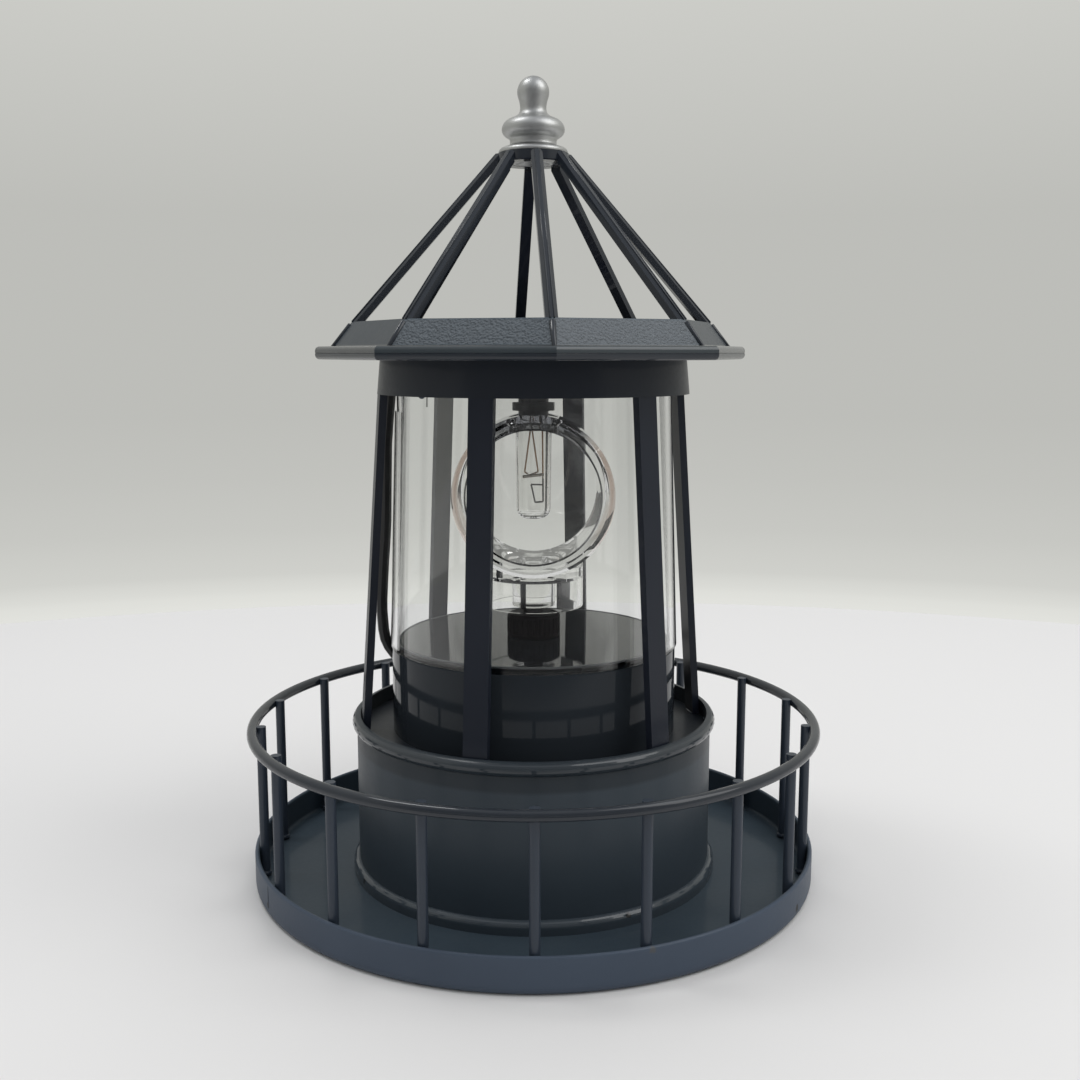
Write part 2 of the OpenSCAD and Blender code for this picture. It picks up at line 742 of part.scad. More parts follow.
module power_cable() {
    line = smooth_route(cable_route);
    count = len(line);
    rings = [
        for (i = [0:count - 1])
            let (
                way = line[min(i + 1, count - 1)] - line[max(i - 1, 0)],
                side = [-way[1], way[0]] / norm(way)
            )
                for (j = [0:cable_sides - 1])
                    let (a = 360 * j / cable_sides, c = line[i] + cable_r * cos(a) * side)
                        [cable_r * sin(a), -c[0], c[1]]
    ];
    last = (count - 1) * cable_sides;
    walls = [
        for (i = [0:count - 2])
            for (j = [0:cable_sides - 1])
                let (a = i * cable_sides + j, b = i * cable_sides + (j + 1) % cable_sides)
                    each [[a, b, a + cable_sides], [b, b + cable_sides, a + cable_sides]]
    ];
    ends = [
        for (j = [1:cable_sides - 2])
            each [[0, j + 1, j], [last, last + j, last + j + 1]]
    ];
    color("black") at(cable_turn) polyhedron(points = rings, faces = concat(walls, ends));
}

module lamp_socket() {
    color("black") difference() {
        union() {
            translate([0, 0, socket_z])
                cylinder(r = socket_r, h = socket_drop + socket_head_h);
            translate([0, 0, socket_flange_z]) cylinder(r = socket_flange_r, h = socket_flange_t);
        }
        translate([0, 0, socket_z - over])
            cylinder(r = bulb_mouth_r - bulb_wall, h = over + socket_cavity_h);
    }
}

module socket_nut() {
    color("silver") translate([0, 0, well_floor_z]) difference() {
        cylinder(r = socket_nut_r, h = socket_nut_t, $fn = 6);
        translate([0, 0, -over]) cylinder(r = socket_r + weld_gap, h = socket_nut_t + 2 * over);
    }
}

module bulb_glass() {
    low = bulb_bottom_z;
    color("lightyellow") turned(concat(
        [[0, low]],
        arc_points(bulb_r - bulb_edge_r, low + bulb_edge_r, bulb_edge_r, -90, 0),
        [
            [bulb_r + bulb_flare, socket_z - bulb_shoulder_h], [bulb_mouth_r, socket_z],
            [bulb_mouth_r - bulb_wall, socket_z],
            [bulb_r + bulb_flare - bulb_wall, socket_z - bulb_shoulder_h - bulb_wall / 2]
        ],
        arc_points(bulb_r - bulb_edge_r, low + bulb_edge_r, bulb_edge_r - bulb_wall, 0, -90),
        [[0, low + bulb_wall]]
    ));
}

module bulb_filament() {
    color("peru") union() {
        rod(wire_left, wire_head, wire_r);
        rod(wire_right, wire_head, wire_r);
        rod(wire_left, wire_dip, wire_r);
        rod(wire_dip, wire_right, wire_r);
        rod(bridge_left, bridge_right, bridge_wire_r);
        rod(mast_foot, mast_head, wire_r);
        rod(loop_low_left, mast_foot, wire_r);
        rod(loop_low_left, loop_top_left, wire_r);
        rod(loop_top_left, loop_top_right, wire_r);
        translate([0, 0, socket_z])
            cylinder(r = bulb_mouth_r - bulb_wall - weld_gap, h = socket_cavity_h);
    }
}

module top_collar() {
    color("darkslategray") difference() {
        turned([
            [collar_bore_r, collar_z], [collar_foot_r, collar_z],
            [collar_head_r, ceiling_z], [collar_bore_r, ceiling_z]
        ]);
        at(cable_turn, cable_top_r, collar_z - over)
            cylinder(r = cable_r + cable_gap, h = collar_h + 2 * over);
    }
}

module ceiling_plate() {
    color("dimgray") difference() {
        union() {
            octagon_turned(concat(
                [[0, ceiling_z]],
                arc_points(eave_r - lip_round, ceiling_z + lip_round, lip_round, -90, 0),
                arc_points(eave_r - lip_edge_r, ceiling_top_z - lip_edge_r, lip_edge_r, 0, 90, edge_steps),
                [[0, ceiling_top_z]]
            ));
            translate([0, 0, well_under_z]) cylinder(r = well_r, h = well_drop + ceiling_t / 2);
        }
        difference() {
            translate([0, 0, well_floor_z]) cylinder(r = well_inner_r, h = well_drop + ceiling_t + over);
            for (side = [-1, 1])
                translate([side * (board_len / 2 - boss_inset), board_y, well_under_z])
                    cylinder(r = boss_r, h = well_floor + boss_h);
        }
        translate([0, 0, well_under_z - over])
            cylinder(r = socket_r + weld_gap, h = well_floor + 2 * over);
        at(cable_turn, cable_top_r, well_under_z - over)
            cylinder(r = cable_r + cable_gap, h = over + well_floor + cable_d + cable_gap);
        at(switch_turn, switch_r, ceiling_z - over)
            translate([-(knob_len + switch_travel) / 2 - slot_gap, -knob_w / 2 - slot_gap, 0])
                cube([
                    knob_len + switch_travel + 2 * slot_gap, knob_w + 2 * slot_gap, ceiling_t + 2 * over
                ]);
        screw_shapes(screw_gap, over);
    }
}

module circuit_board() {
    board_z = well_floor_z + boss_h;
    color("seagreen") translate([0, board_y, board_z]) union() {
        translate([-board_len / 2, -board_w / 2, 0]) cube([board_len, board_w, board_t]);
        translate([-chip_side / 2, -chip_side / 2, board_t - weld_gap])
            cube([chip_side, chip_side, chip_t + weld_gap]);
        translate([board_len / 2 - 2 * coil_r, 0, board_t - weld_gap])
            cylinder(r = coil_r, h = coil_h + weld_gap);
        translate([-board_len / 2 + coil_r, -plug_size[1] / 2, board_t - weld_gap]) cube(plug_size);
    }
}

module battery_holder() {
    color("black") difference() {
        translate([-cradle_len / 2, cell_y - cradle_w / 2, well_floor_z])
            cube([cradle_len, cradle_w, cradle_h]);
        translate([-cradle_inner / 2, cell_y, cell_z]) rotate([0, 90, 0])
            cylinder(r = cell_d / 2 + cell_gap, h = cradle_inner);
    }
}

module battery() {
    color("seagreen")
        translate([-(cell_len + cell_cap_h) / 2, cell_y, cell_z]) rotate([0, 90, 0]) union() {
            cylinder(r = cell_d / 2, h = cell_len);
            cylinder(r = cell_cap_r, h = cell_len + cell_cap_h);
        }
}

module switch_body() {
    bay_len = knob_len + switch_travel + 2 * (switch_plate_grow + slot_gap);
    bay_w = switch_body_w - 2 * switch_wall;
    color("black") at(switch_turn, switch_r, ceiling_top_z) difference() {
        translate([-switch_body_len / 2, -switch_body_w / 2, 0])
            cube([switch_body_len, switch_body_w, switch_body_h]);
        translate([-bay_len / 2, -bay_w / 2, -over])
            cube([bay_len, bay_w, over + switch_body_h - switch_wall]);
    }
}

module switch_slider() {
    plate_w = switch_body_w - 2 * switch_wall - 2 * slot_gap;
    plate_z = ceiling_t + knob_out + slot_gap;
    color("dimgray") at(switch_turn, switch_r, ceiling_z - knob_out)
        translate([-switch_travel / 2, 0, 0]) union() {
            translate([-knob_len / 2, -knob_w / 2, 0])
                cube([knob_len, knob_w, plate_z + switch_plate_t / 2]);
            translate([-knob_len / 2 - switch_plate_grow, -plate_w / 2, plate_z])
                cube([knob_len + 2 * switch_plate_grow, plate_w, switch_plate_t]);
        }
}

module roof_band() {
    leaf_r = flange_t / 2;
    shelf_z = bezel_under_z - shelf_t;
    color("gray") difference() {
        octagon_turned(concat(
            [[band_inner_foot_r, ceiling_top_z]],
            arc_points(eave_r - lip_edge_r, ceiling_top_z + lip_edge_r, lip_edge_r, -90, 0, edge_steps),
            arc_points(eave_r - lip_round, flange_top_z - lip_round, lip_round, 0, 90),
            [
                [band_foot_r, flange_top_z], [band_head_r, band_head_z],
                [band_inner_r(band_head_z), band_head_z], [band_inner_r(bezel_under_z), bezel_under_z],
                [bezel_r - shelf_w, bezel_under_z], [bezel_r - shelf_w, shelf_z],
                [band_inner_r(shelf_z), shelf_z], [band_inner_foot_r, flange_top_z - leaf_r]
            ]
        ));
        screw_shapes(0, 0);
    }
}

module solar_bezel() {
    recess = panel_side + 2 * bezel_edge_gap;
    color("black") difference() {
        translate([0, 0, bezel_under_z]) octagon(bezel_r, bezel_t);
        rotate([0, 0, roof_turn + corner_step / 2])
            translate([-recess / 2, -recess / 2, bezel_top_z - recess_depth])
                cube([recess, recess, recess_depth + over]);
    }
}

module solar_panel() {
    color("midnightblue") rotate([0, 0, roof_turn + corner_step / 2])
        translate([-panel_side / 2, -panel_side / 2, bezel_top_z - recess_depth])
            cube([panel_side, panel_side, panel_t]);
}

module roof_rib(i) {
    span = 2 * eave_r;
    color("dimgray") difference() {
        at(roof_turn + corner_step * i, band_head_r, band_head_z)
            rotate([-rib_lean, 0, 0]) translate([0, 0, -2 * rib_depth])
                linear_extrude(rib_len + 4 * rib_depth)
                    polygon([
                        [-rib_w / 2, rib_depth], [-rib_w / 2, rib_shoulder], [-rib_ridge_w / 2, 0],
                        [rib_ridge_w / 2, 0], [rib_w / 2, rib_shoulder], [rib_w / 2, rib_depth]
                    ]);
        translate([-span / 2, -span / 2, band_head_z - span]) cube(span);
        translate([-span / 2, -span / 2, apex_top_z]) cube(span);
        translate([0, 0, apex_top_z - roof_rise / 2]) cylinder(r = apex_r + weld_gap / 2, h = roof_rise);
    }
}

module apex_ring() {
    chamfer = apex_h / 8;
    low = apex_top_z - apex_h;
    color("dimgray") turned([
        [spigot_r + weld_gap, low], [apex_r - chamfer, low], [apex_r, low + chamfer],
        [apex_r, apex_top_z], [spigot_r + weld_gap, apex_top_z]
    ]);
}

module finial() {
    flange_z = apex_top_z + finial_flange_h;
    waist_z = flange_z + finial_slope_h;
    bulge_z = waist_z + waist_h + bulge_h / 2;
    cove_z = bulge_z + bulge_h / 2 + cove_h;
    ball_z = total_h - ball_r;
    ball_start = -acos(neck_r / ball_r);
    spigot_bore_h = apex_h + finial_flange_h + finial_slope_h;
    spigot_z = apex_top_z - apex_h + weld_gap;
    cove_w = waist_r - neck_r;
    color("silver") turned(concat(
        [
            [0, spigot_z + spigot_bore_h], [spigot_r - spigot_wall, spigot_z + spigot_bore_h],
            [spigot_r - spigot_wall, spigot_z], [spigot_r, spigot_z], [spigot_r, apex_top_z],
            [finial_flange_r, apex_top_z], [finial_flange_r, flange_z],
            [waist_r + waist_flare, waist_z - waist_flare / 4], [waist_r, waist_z]
        ],
        oval_points(waist_r, bulge_z, bulge_r - waist_r, bulge_h / 2, -90, 90),
        oval_points(neck_r + cove_w, cove_z, cove_w, cove_h, 270, 180, round_steps),
        oval_points(0, ball_z, ball_r, ball_r, ball_start, 90)
    ));
}

// The four screws' shapes, or their holes when grown
module screw_shapes(grow, run) {
    for (i = [0:screw_count - 1])
        at(roof_turn + corner_step / 2 + 360 / screw_count * i, screw_ring_r, ceiling_z) {
            translate([0, 0, -run]) cylinder(r = screw_r + grow, h = screw_len + run);
            cylinder(r1 = screw_head_r + grow, r2 = screw_r + grow, h = screw_head_h);
        }
}

module screws() {
    color("silver") screw_shapes(0, 0);
}

deck();
rail();
for (i = [1:baluster_count]) baluster(i - 1);
drum();
for (i = [1:post_count]) cage_post(i - 1);
motor_housing();
housing_lid();
motor();
motor_shaft();
drive_hub();
lens_carrier();
clear_tube();
power_cable();
lamp_socket();
socket_nut();
bulb_glass();
bulb_filament();
top_collar();
ceiling_plate();
circuit_board();
battery_holder();
battery();
switch_body();
switch_slider();
roof_band();
solar_bezel();
solar_panel();
for (i = [1:rib_count]) roof_rib(i - 1);
apex_ring();
finial();
screws();
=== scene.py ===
# %% [markdown]
# # A lighthouse garden light
#
# The object is the lantern room of a lighthouse, 20.5 cm high: a round deck with a railing, a drum,
# a clear lantern in a cage of six bars, a turning lens and an open roof with a silver finial. Its
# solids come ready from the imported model. This script adds what solids alone lack: the finishes, the
# welds and other small marks of the making, the light and the camera.

import math

import bmesh
import bpy
from mathutils import Matrix, Vector


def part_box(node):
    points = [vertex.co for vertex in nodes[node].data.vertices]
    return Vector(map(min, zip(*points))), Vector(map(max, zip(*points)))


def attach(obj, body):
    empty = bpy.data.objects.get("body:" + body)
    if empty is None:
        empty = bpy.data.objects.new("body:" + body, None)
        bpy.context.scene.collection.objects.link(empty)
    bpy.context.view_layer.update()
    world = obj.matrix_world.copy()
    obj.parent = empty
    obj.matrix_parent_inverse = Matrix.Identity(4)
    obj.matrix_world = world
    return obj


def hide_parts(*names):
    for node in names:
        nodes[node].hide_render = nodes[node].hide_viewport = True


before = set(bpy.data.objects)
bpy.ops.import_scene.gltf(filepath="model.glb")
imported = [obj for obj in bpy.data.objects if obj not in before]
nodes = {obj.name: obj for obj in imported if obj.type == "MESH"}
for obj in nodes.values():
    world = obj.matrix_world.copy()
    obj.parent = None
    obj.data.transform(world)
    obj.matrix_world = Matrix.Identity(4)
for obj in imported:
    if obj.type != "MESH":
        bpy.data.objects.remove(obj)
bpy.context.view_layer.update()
MM = 0.001


# %% [markdown]
# ## Camera
#
# The picture was taken from a little above, at about a third of a metre. A camera has a place, two
# angles and a focal length. All of them were found by matching the deck, the rail and the roof, so
# the render can be laid over the picture. A long lens from far away would flatten the ellipses of the
# deck and the rail.

# %% Camera
CAMERA_PLACE = (1.96, -325.7, 137)
CAMERA_DIP = 8.507
CAMERA_TURN = 0.048
camera_data = bpy.data.cameras.new("camera")
camera_data.sensor_width = 36
camera_data.lens = 41.83
camera_data.clip_start = 10 * MM
camera = bpy.data.objects.new("camera", camera_data)
camera.location = [part * MM for part in CAMERA_PLACE]
camera.rotation_euler = (math.radians(90 - CAMERA_DIP), 0, math.radians(CAMERA_TURN))
bpy.context.collection.objects.link(camera)
bpy.context.scene.camera = camera
print("camera height:", round(camera.location.z, 3), "m")


# %% [markdown]
# ## Helpers for materials
#
# Every finish is a node tree. A few short helpers keep the trees readable. The main one adds a node,
# sets what belongs to the node itself and fills its sockets: another node's socket gets joined, and
# any other value is typed in. The rest name what is used most, such as a noise, a mix or a map from
# one range to another. Patterns read Object coordinates, which are metres in the model's own frame, so
# a grain of 1 mm needs a noise scale of about 1000.

# %% Material helpers
FLOAT = "NodeSocketFloat"
VECTOR = "NodeSocketVector"


def new_material(name):
    material = bpy.data.materials.new(name)
    material.use_nodes = True
    material.node_tree.nodes.clear()
    return material


def feed(tree, socket, value):
    if isinstance(value, bpy.types.NodeSocket):
        tree.links.new(value, socket)
    else:
        socket.default_value = value


def add(tree, kind, *values, **named):
    node = tree.nodes.new(kind)
    settings = [key for key in named if hasattr(node, key)]
    for key in settings:
        setattr(node, key, named[key])
    for socket, value in zip(node.inputs, values):
        feed(tree, socket, value)
    for key, value in named.items():
        if key not in settings:
            feed(tree, node.inputs[key.replace("_", " ")], value)
    return node


def surface(tree, **values):
    shader = add(tree, "ShaderNodeBsdfPrincipled", **values)
    output = add(tree, "ShaderNodeOutputMaterial", Surface=shader.outputs["BSDF"])
    return shader, output


def calc(tree, operation, *values):
    return add(tree, "ShaderNodeMath", *values, operation=operation).outputs[0]


def remap(tree, value, start, end, low=0.0, high=1.0):
    step = add(tree, "ShaderNodeMapRange", Value=value, From_Min=start, From_Max=end, To_Min=low, To_Max=high)
    return step.outputs["Result"]


def mixed(tree, mask, first, second, blend="MIX"):
    mix = add(tree, "ShaderNodeMix", data_type="RGBA", blend_type=blend, Factor=mask, A=first, B=second)
    return mix.outputs["Result"]


def own_place(tree):
    return add(tree, "ShaderNodeTexCoord").outputs["Object"]


def part_of(tree, vector, axis):
    return add(tree, "ShaderNodeSeparateXYZ", Vector=vector).outputs[axis]


def noise(tree, vector, scale, detail, roughness=0.5):
    made = add(tree, "ShaderNodeTexNoise", Vector=vector, Scale=scale, Detail=detail, Roughness=roughness)
    return made.outputs["Fac"]


def color_ramp(tree, value, stops, interpolation="LINEAR"):
    node = add(tree, "ShaderNodeValToRGB", Fac=value)
    node.color_ramp.interpolation = interpolation
    elements = node.color_ramp.elements
    while len(elements) < len(stops):
        elements.new(0.5)
    for element, (place, color) in zip(elements, stops):
        element.position = place
        element.color = color
    return node.outputs["Color"]


def group_node(tree, group, **values):
    return add(tree, "ShaderNodeGroup", node_tree=group, **values).outputs


def new_group(name, inputs, outputs):
    group = bpy.data.node_groups.new(name, "ShaderNodeTree")
    for label, kind, value in inputs:
        socket = group.interface.new_socket(label, in_out="INPUT", socket_type=kind)
        socket.default_value = value
    for label in outputs:
        group.interface.new_socket(label, in_out="OUTPUT", socket_type=FLOAT)
    start = group.nodes.new("NodeGroupInput")
    end = group.nodes.new("NodeGroupOutput")
    print("group:", group.name)
    return group, start.outputs, end.inputs


# %% [markdown]
# ## Shared effect: the grain of sprayed paint
#
# Sprayed paint is never flat. It has fine orange peel, a slow change of tone over a few centimetres
# and some pinholes of dust. One group makes these for every painted piece: it puts out a height for
# the bump, a tone mask and a mask for the gloss.

# %% Group: paint grain
SPECK_SIZE = (0.05, 0.12)
SPECK_SHARE = 0.25
PEEL_SHARE = 0.35
paint_grain, grain_in, grain_out = new_group(
    "paint grain", [("Peel Scale", FLOAT, 900.0), ("Tone Scale", FLOAT, 28.0)], ["Height", "Tone", "Gloss"]
)
grain_place = own_place(paint_grain)
peel = noise(paint_grain, grain_place, grain_in["Peel Scale"], detail=3.0, roughness=0.55)
tone = noise(paint_grain, grain_place, grain_in["Tone Scale"], detail=4.0, roughness=0.6)
cells = add(paint_grain, "ShaderNodeTexVoronoi", Vector=grain_place, Scale=420.0)
specks = remap(paint_grain, cells.outputs["Distance"], *SPECK_SIZE, low=1.0, high=0.0)
feed(paint_grain, grain_out["Height"], calc(paint_grain, "MULTIPLY_ADD", specks, SPECK_SHARE, peel))
feed(paint_grain, grain_out["Tone"], tone)
feed(paint_grain, grain_out["Gloss"], calc(paint_grain, "MULTIPLY_ADD", peel, PEEL_SHARE, tone))


# %% [markdown]
# ## Shared effect: dust
#
# A garden light stands outdoors and on shelves. Faces that look up gather a thin film of dust, and
# more of it in patches. The group compares the normal with straight up and breaks the result with a
# noise, so the film is uneven.

# %% Group: dust
LOOKS_UP = (0.55, 1.0)
PATCHES = (0.35, 0.75)
PATCH_LEAST = 0.15
dust_film, dust_in, dust_out = new_group("dust film", [("Amount", FLOAT, 0.15)], ["Mask"])
dust_normal = add(dust_film, "ShaderNodeNewGeometry").outputs["Normal"]
dust_up = remap(dust_film, part_of(dust_film, dust_normal, "Z"), *LOOKS_UP)
dust_noise = noise(dust_film, own_place(dust_film), scale=75.0, detail=6.0, roughness=0.7)
dust_patch = remap(dust_film, dust_noise, *PATCHES, low=PATCH_LEAST)
dust_both = calc(dust_film, "MULTIPLY", dust_up, dust_patch)
feed(dust_film, dust_out["Mask"], calc(dust_film, "MULTIPLY", dust_both, dust_in["Amount"]))


# %% [markdown]
# ## Shared effect: drawn streaks
#
# Rolled and turned metal shows fine parallel streaks. A noise squeezed along one axis makes them. The
# group takes the squeeze as a vector, so one group serves streaks that run up the drum and streaks
# that run round a shaft.

# %% Group: streaks
ALONG_Z = (1200.0, 1200.0, 25.0)
streaks, streak_in, streak_out = new_group("streaks", [("Stretch", VECTOR, ALONG_Z)], ["Height"])
streak_place = add(
    streaks, "ShaderNodeVectorMath", own_place(streaks), streak_in["Stretch"], operation="MULTIPLY"
)
lines = noise(streaks, streak_place.outputs["Vector"], scale=1.0, detail=4.0, roughness=0.65)
feed(streaks, streak_out["Height"], lines)


# %% [markdown]
# ## Shared effect: nicks
#
# The real piece has a few small nicks and scuffs, at known places. The group measures how far a point
# is from a given place and puts out a mask that fades at a given reach. A noise bends the distance, so
# the spot isn't round.

# %% Group: nick
NICK_BEND = 1.2
NICK_FADE = (0.6, 1.0)
nick_group, nick_in, nick_out = new_group(
    "nick", [("Place", VECTOR, (0.0, 0.0, 0.0)), ("Reach", FLOAT, 1 * MM)], ["Mask"]
)
nick_place = own_place(nick_group)
nick_far = add(nick_group, "ShaderNodeVectorMath", nick_place, nick_in["Place"], operation="DISTANCE")
nick_noise = noise(nick_group, nick_place, scale=1400.0, detail=2.0)
nick_bent = calc(nick_group, "MULTIPLY_ADD", nick_noise, NICK_BEND * MM, nick_far.outputs["Value"])
nick_even = calc(nick_group, "SUBTRACT", nick_bent, NICK_BEND / 2 * MM)
nick_share = calc(nick_group, "DIVIDE", nick_even, nick_in["Reach"])
feed(nick_group, nick_out["Mask"], remap(nick_group, nick_share, *NICK_FADE, low=1.0, high=0.0))


# %% [markdown]
# ## Shared effect: distance from the axis
#
# Most of the object is round about one upright axis, so a mask by the distance from it tells a floor
# from a wall and a rolled bead from both.

# %% Group: radius
radius_group, _, radius_out = new_group("radius", [], ["Radius"])
radius_flat = add(
    radius_group, "ShaderNodeVectorMath", own_place(radius_group), (1, 1, 0), operation="MULTIPLY"
)
radius_length = add(
    radius_group, "ShaderNodeVectorMath", radius_flat.outputs["Vector"], operation="LENGTH"
)
feed(radius_group, radius_out["Radius"], radius_length.outputs["Value"])


# %% [markdown]
# ## Satin blue-black paint
#
# Deck, railing, drum, cage, collar and roof share one paint: nearly black with a blue cast, and a
# satin skin that draws soft highlights along every edge. The tone mask mixes two close darks, the
# dust lies on top, and the gloss mask moves the roughness a little. A weak coat over the rougher base
# gives the thin bright line that runs along each rim. Each kind of piece has its own share of the two
# darks and its own coat. The share is painted light and shade: it sets how pale the one paint is on
# each kind of piece, to the tone that piece shows in its light.

# %% Paint material
PAINT_DARK = (0.0085, 0.0115, 0.0165)
PAINT_LIGHT = (0.013, 0.0172, 0.024)
DUST_COLOR = (0.16, 0.165, 0.165, 1)
DUST_ROUGHNESS = 0.5
GLOSS_RANGE = (0.5, 0.85)
NICK_DEPTH = -4.0


def toned(color, share, blue=1.0):
    return (color[0] * share, color[1] * share, color[2] * share * blue, 1)


def painted(
    name, share=1.0, blue=1.0, dust=0.1, rough=(0.48, 0.62), bump=0.05, streak=0.0, coat=(0.3, 0.13), marks=()
):
    material = new_material(name)
    tree = material.node_tree
    grain = group_node(tree, paint_grain)
    film = group_node(tree, dust_film, Amount=dust)["Mask"]
    tones = mixed(tree, grain["Tone"], toned(PAINT_DARK, share, blue), toned(PAINT_LIGHT, share, blue))
    color = mixed(tree, film, tones, DUST_COLOR)
    gloss = remap(tree, grain["Gloss"], *GLOSS_RANGE, *rough)
    height = grain["Height"]
    if streak:
        height = calc(tree, "MULTIPLY_ADD", group_node(tree, streaks)["Height"], streak, height)
    for place, reach, tint in marks:
        spot = group_node(tree, nick_group, Place=[c * MM for c in place], Reach=reach * MM)["Mask"]
        color = mixed(tree, spot, color, toned(tint, 1.0))
        height = calc(tree, "MULTIPLY_ADD", spot, NICK_DEPTH, height)
    relief = add(tree, "ShaderNodeBump", Strength=bump, Distance=0.2 * MM, Height=height)
    shader, _ = surface(
        tree,
        Base_Color=color,
        Metallic=0.0,
        Roughness=calc(tree, "MULTIPLY_ADD", film, DUST_ROUGHNESS, gloss),
        Specular_IOR_Level=0.16,
        Coat_Weight=coat[0],
        Coat_Roughness=coat[1],
        Normal=relief.outputs["Normal"],
    )
    return material, shader, relief


def dress(names, material):
    for name in names:
        target = nodes[name]
        if not target.material_slots:
            target.data.materials.append(material)
        for place in target.material_slots:
            place.material = material
    print(material.name, "on", len(names), "nodes")


# The shares below are painted light and shade on one paint, not different paints.
paint, _, _ = painted("satin paint", blue=1.05, bump=0.025, coat=(0.35, 0.12))
post_paint, _, _ = painted(
    "post paint", blue=1.15, dust=0.0, rough=(0.55, 0.57), bump=0.004, coat=(0.3, 0.2)
)
rib_paint, _, _ = painted("rib paint", share=1.3, bump=0.02, coat=(0.75, 0.09))
bar_paint, _, _ = painted("bar paint", share=2.7, bump=0.03, coat=(0.5, 0.1))
dress(["top_collar"], paint)
dress(["cage_post_%d" % i for i in range(1, 7)], post_paint)
dress(["ceiling_plate", "apex_ring", "rail"] + ["roof_rib_%d" % i for i in range(1, 9)], rib_paint)
dress(["baluster_%02d" % i for i in range(1, 19)], bar_paint)


# %% [markdown]
# ## Deck and drum
#
# The deck's tray and the drum are sheet metal. Their paint is made paler, as painted light, and it
# has the few marks that show on the real ones: a pale scuff and two dark nicks on the skirt, and two
# notches in the drum's lower bead. The drum also has faint streaks that run up its wall. Masks by the
# distance from the axis darken the deck's floor and the recess on top of the drum, as painted shade,
# and give the drum's two rolled beads a glossier coat. A mask by height darkens the drum's top rim, as
# painted shade too.

# %% Deck and drum paint
PALE_SCUFF = (0.075, 0.08, 0.085)
DARK_NICK = (0.004, 0.005, 0.006)
DECK_MARKS = [
    ((26.31, -69.06, 8.49), 1.0, PALE_SCUFF),
    ((64.39, -36.26, 2.97), 1.3, DARK_NICK),
    ((-64.77, -35.58, 3.38), 1.0, DARK_NICK),
]
DRUM_MARKS = [((-43.23, -21.77, 3.51), 0.9, DARK_NICK), ((22.97, -42.6, 4.13), 0.9, DARK_NICK)]
TRAY_EDGE = (72.8, 73.4)
RECESS_EDGE = (45.5, 45.9)
BEAD_EDGE = (47.05, 47.5)
DRUM_TOP = (35.2, 36.2)
DECK_FLOOR_SHADE = (0.58, 0.64, 0.6, 1)
RECESS_SHADE = (0.48, 0.48, 0.52, 1)
DRUM_TOP_SHADE = (0.62, 0.62, 0.62, 1)


def ring_mask(tree, edge, low=1.0, high=0.0):
    return remap(tree, group_node(tree, radius_group)["Radius"], edge[0] * MM, edge[1] * MM, low, high)


def height_mask(tree, edge, low=0.0, high=1.0):
    return remap(tree, part_of(tree, own_place(tree), "Z"), edge[0] * MM, edge[1] * MM, low, high)


def shade(tree, shader, mask, tint):
    color = shader.inputs["Base Color"]
    feed(tree, color, mixed(tree, mask, color.links[0].from_socket, tint, "MULTIPLY"))


# Painted light and shade: the share of 5.1 makes the deck's paint paler, and the tray's floor inside the
# skirt is darkened.
deck_paint, deck_shader, _ = painted(
    "deck paint", share=5.1, dust=0.1, rough=(0.5, 0.64), coat=(0.2, 0.13), marks=DECK_MARKS
)
deck_tree = deck_paint.node_tree
shade(deck_tree, deck_shader, ring_mask(deck_tree, TRAY_EDGE), DECK_FLOOR_SHADE)
dress(["deck"], deck_paint)

# Painted light and shade: the share of 3.4 makes the drum's paint paler, and the recess inside its rim and
# its top rim are darkened.
drum_paint, drum_shader, _ = painted(
    "drum paint", share=3.4, blue=0.88, dust=0.08, rough=(0.46, 0.6), streak=0.5, marks=DRUM_MARKS
)
drum_tree = drum_paint.node_tree
shade(drum_tree, drum_shader, ring_mask(drum_tree, RECESS_EDGE), RECESS_SHADE)
shade(drum_tree, drum_shader, height_mask(drum_tree, DRUM_TOP), DRUM_TOP_SHADE)
bead_coat = ring_mask(drum_tree, BEAD_EDGE, low=0.3, high=0.9)
bead_gloss = ring_mask(drum_tree, BEAD_EDGE, low=0.28, high=0.07)
feed(drum_tree, drum_shader.inputs["Coat Weight"], bead_coat)
feed(drum_tree, drum_shader.inputs["Coat Roughness"], bead_gloss)
dress(["drum"], drum_paint)


# %% [markdown]
# ## Embossed grain and painted sheen on the eave
#
# The sloped front panels of the eave carry a pebbled, leather-like grain that was pressed or cast in,
# while their ribs and the flange below are smooth. A Voronoi pattern makes the pebbles, and a noise
# the creases between them. A mask by height keeps them on the slope, and one by the way a panel faces
# keeps them off the side panels. The eave's paint is made much paler, and the panels that face front
# and back paler still: a painted sheen for the overhead light they catch. The side panels are painted
# darker, as painted shade. The lip below the slope is painted darker too, which takes back the
# painted light there, and it is glossier, so it ends in a fine line.

# %% Eave material
SLOPE_FOOT = (138.6, 139.1)
SLOPE_HEAD = (144.1, 144.5)
LIP_TOP = (138.6, 138.8)
PANEL_FACING = (0.48, 0.56)
PEBBLE_SHARE = -1.1
PANEL_SHEEN = (1.6, 1.4, 1.3, 1)
SIDE_SHADE = (0.5, 0.5, 0.52, 1)
LIP_SHADE = (0.5, 0.5, 0.48, 1)
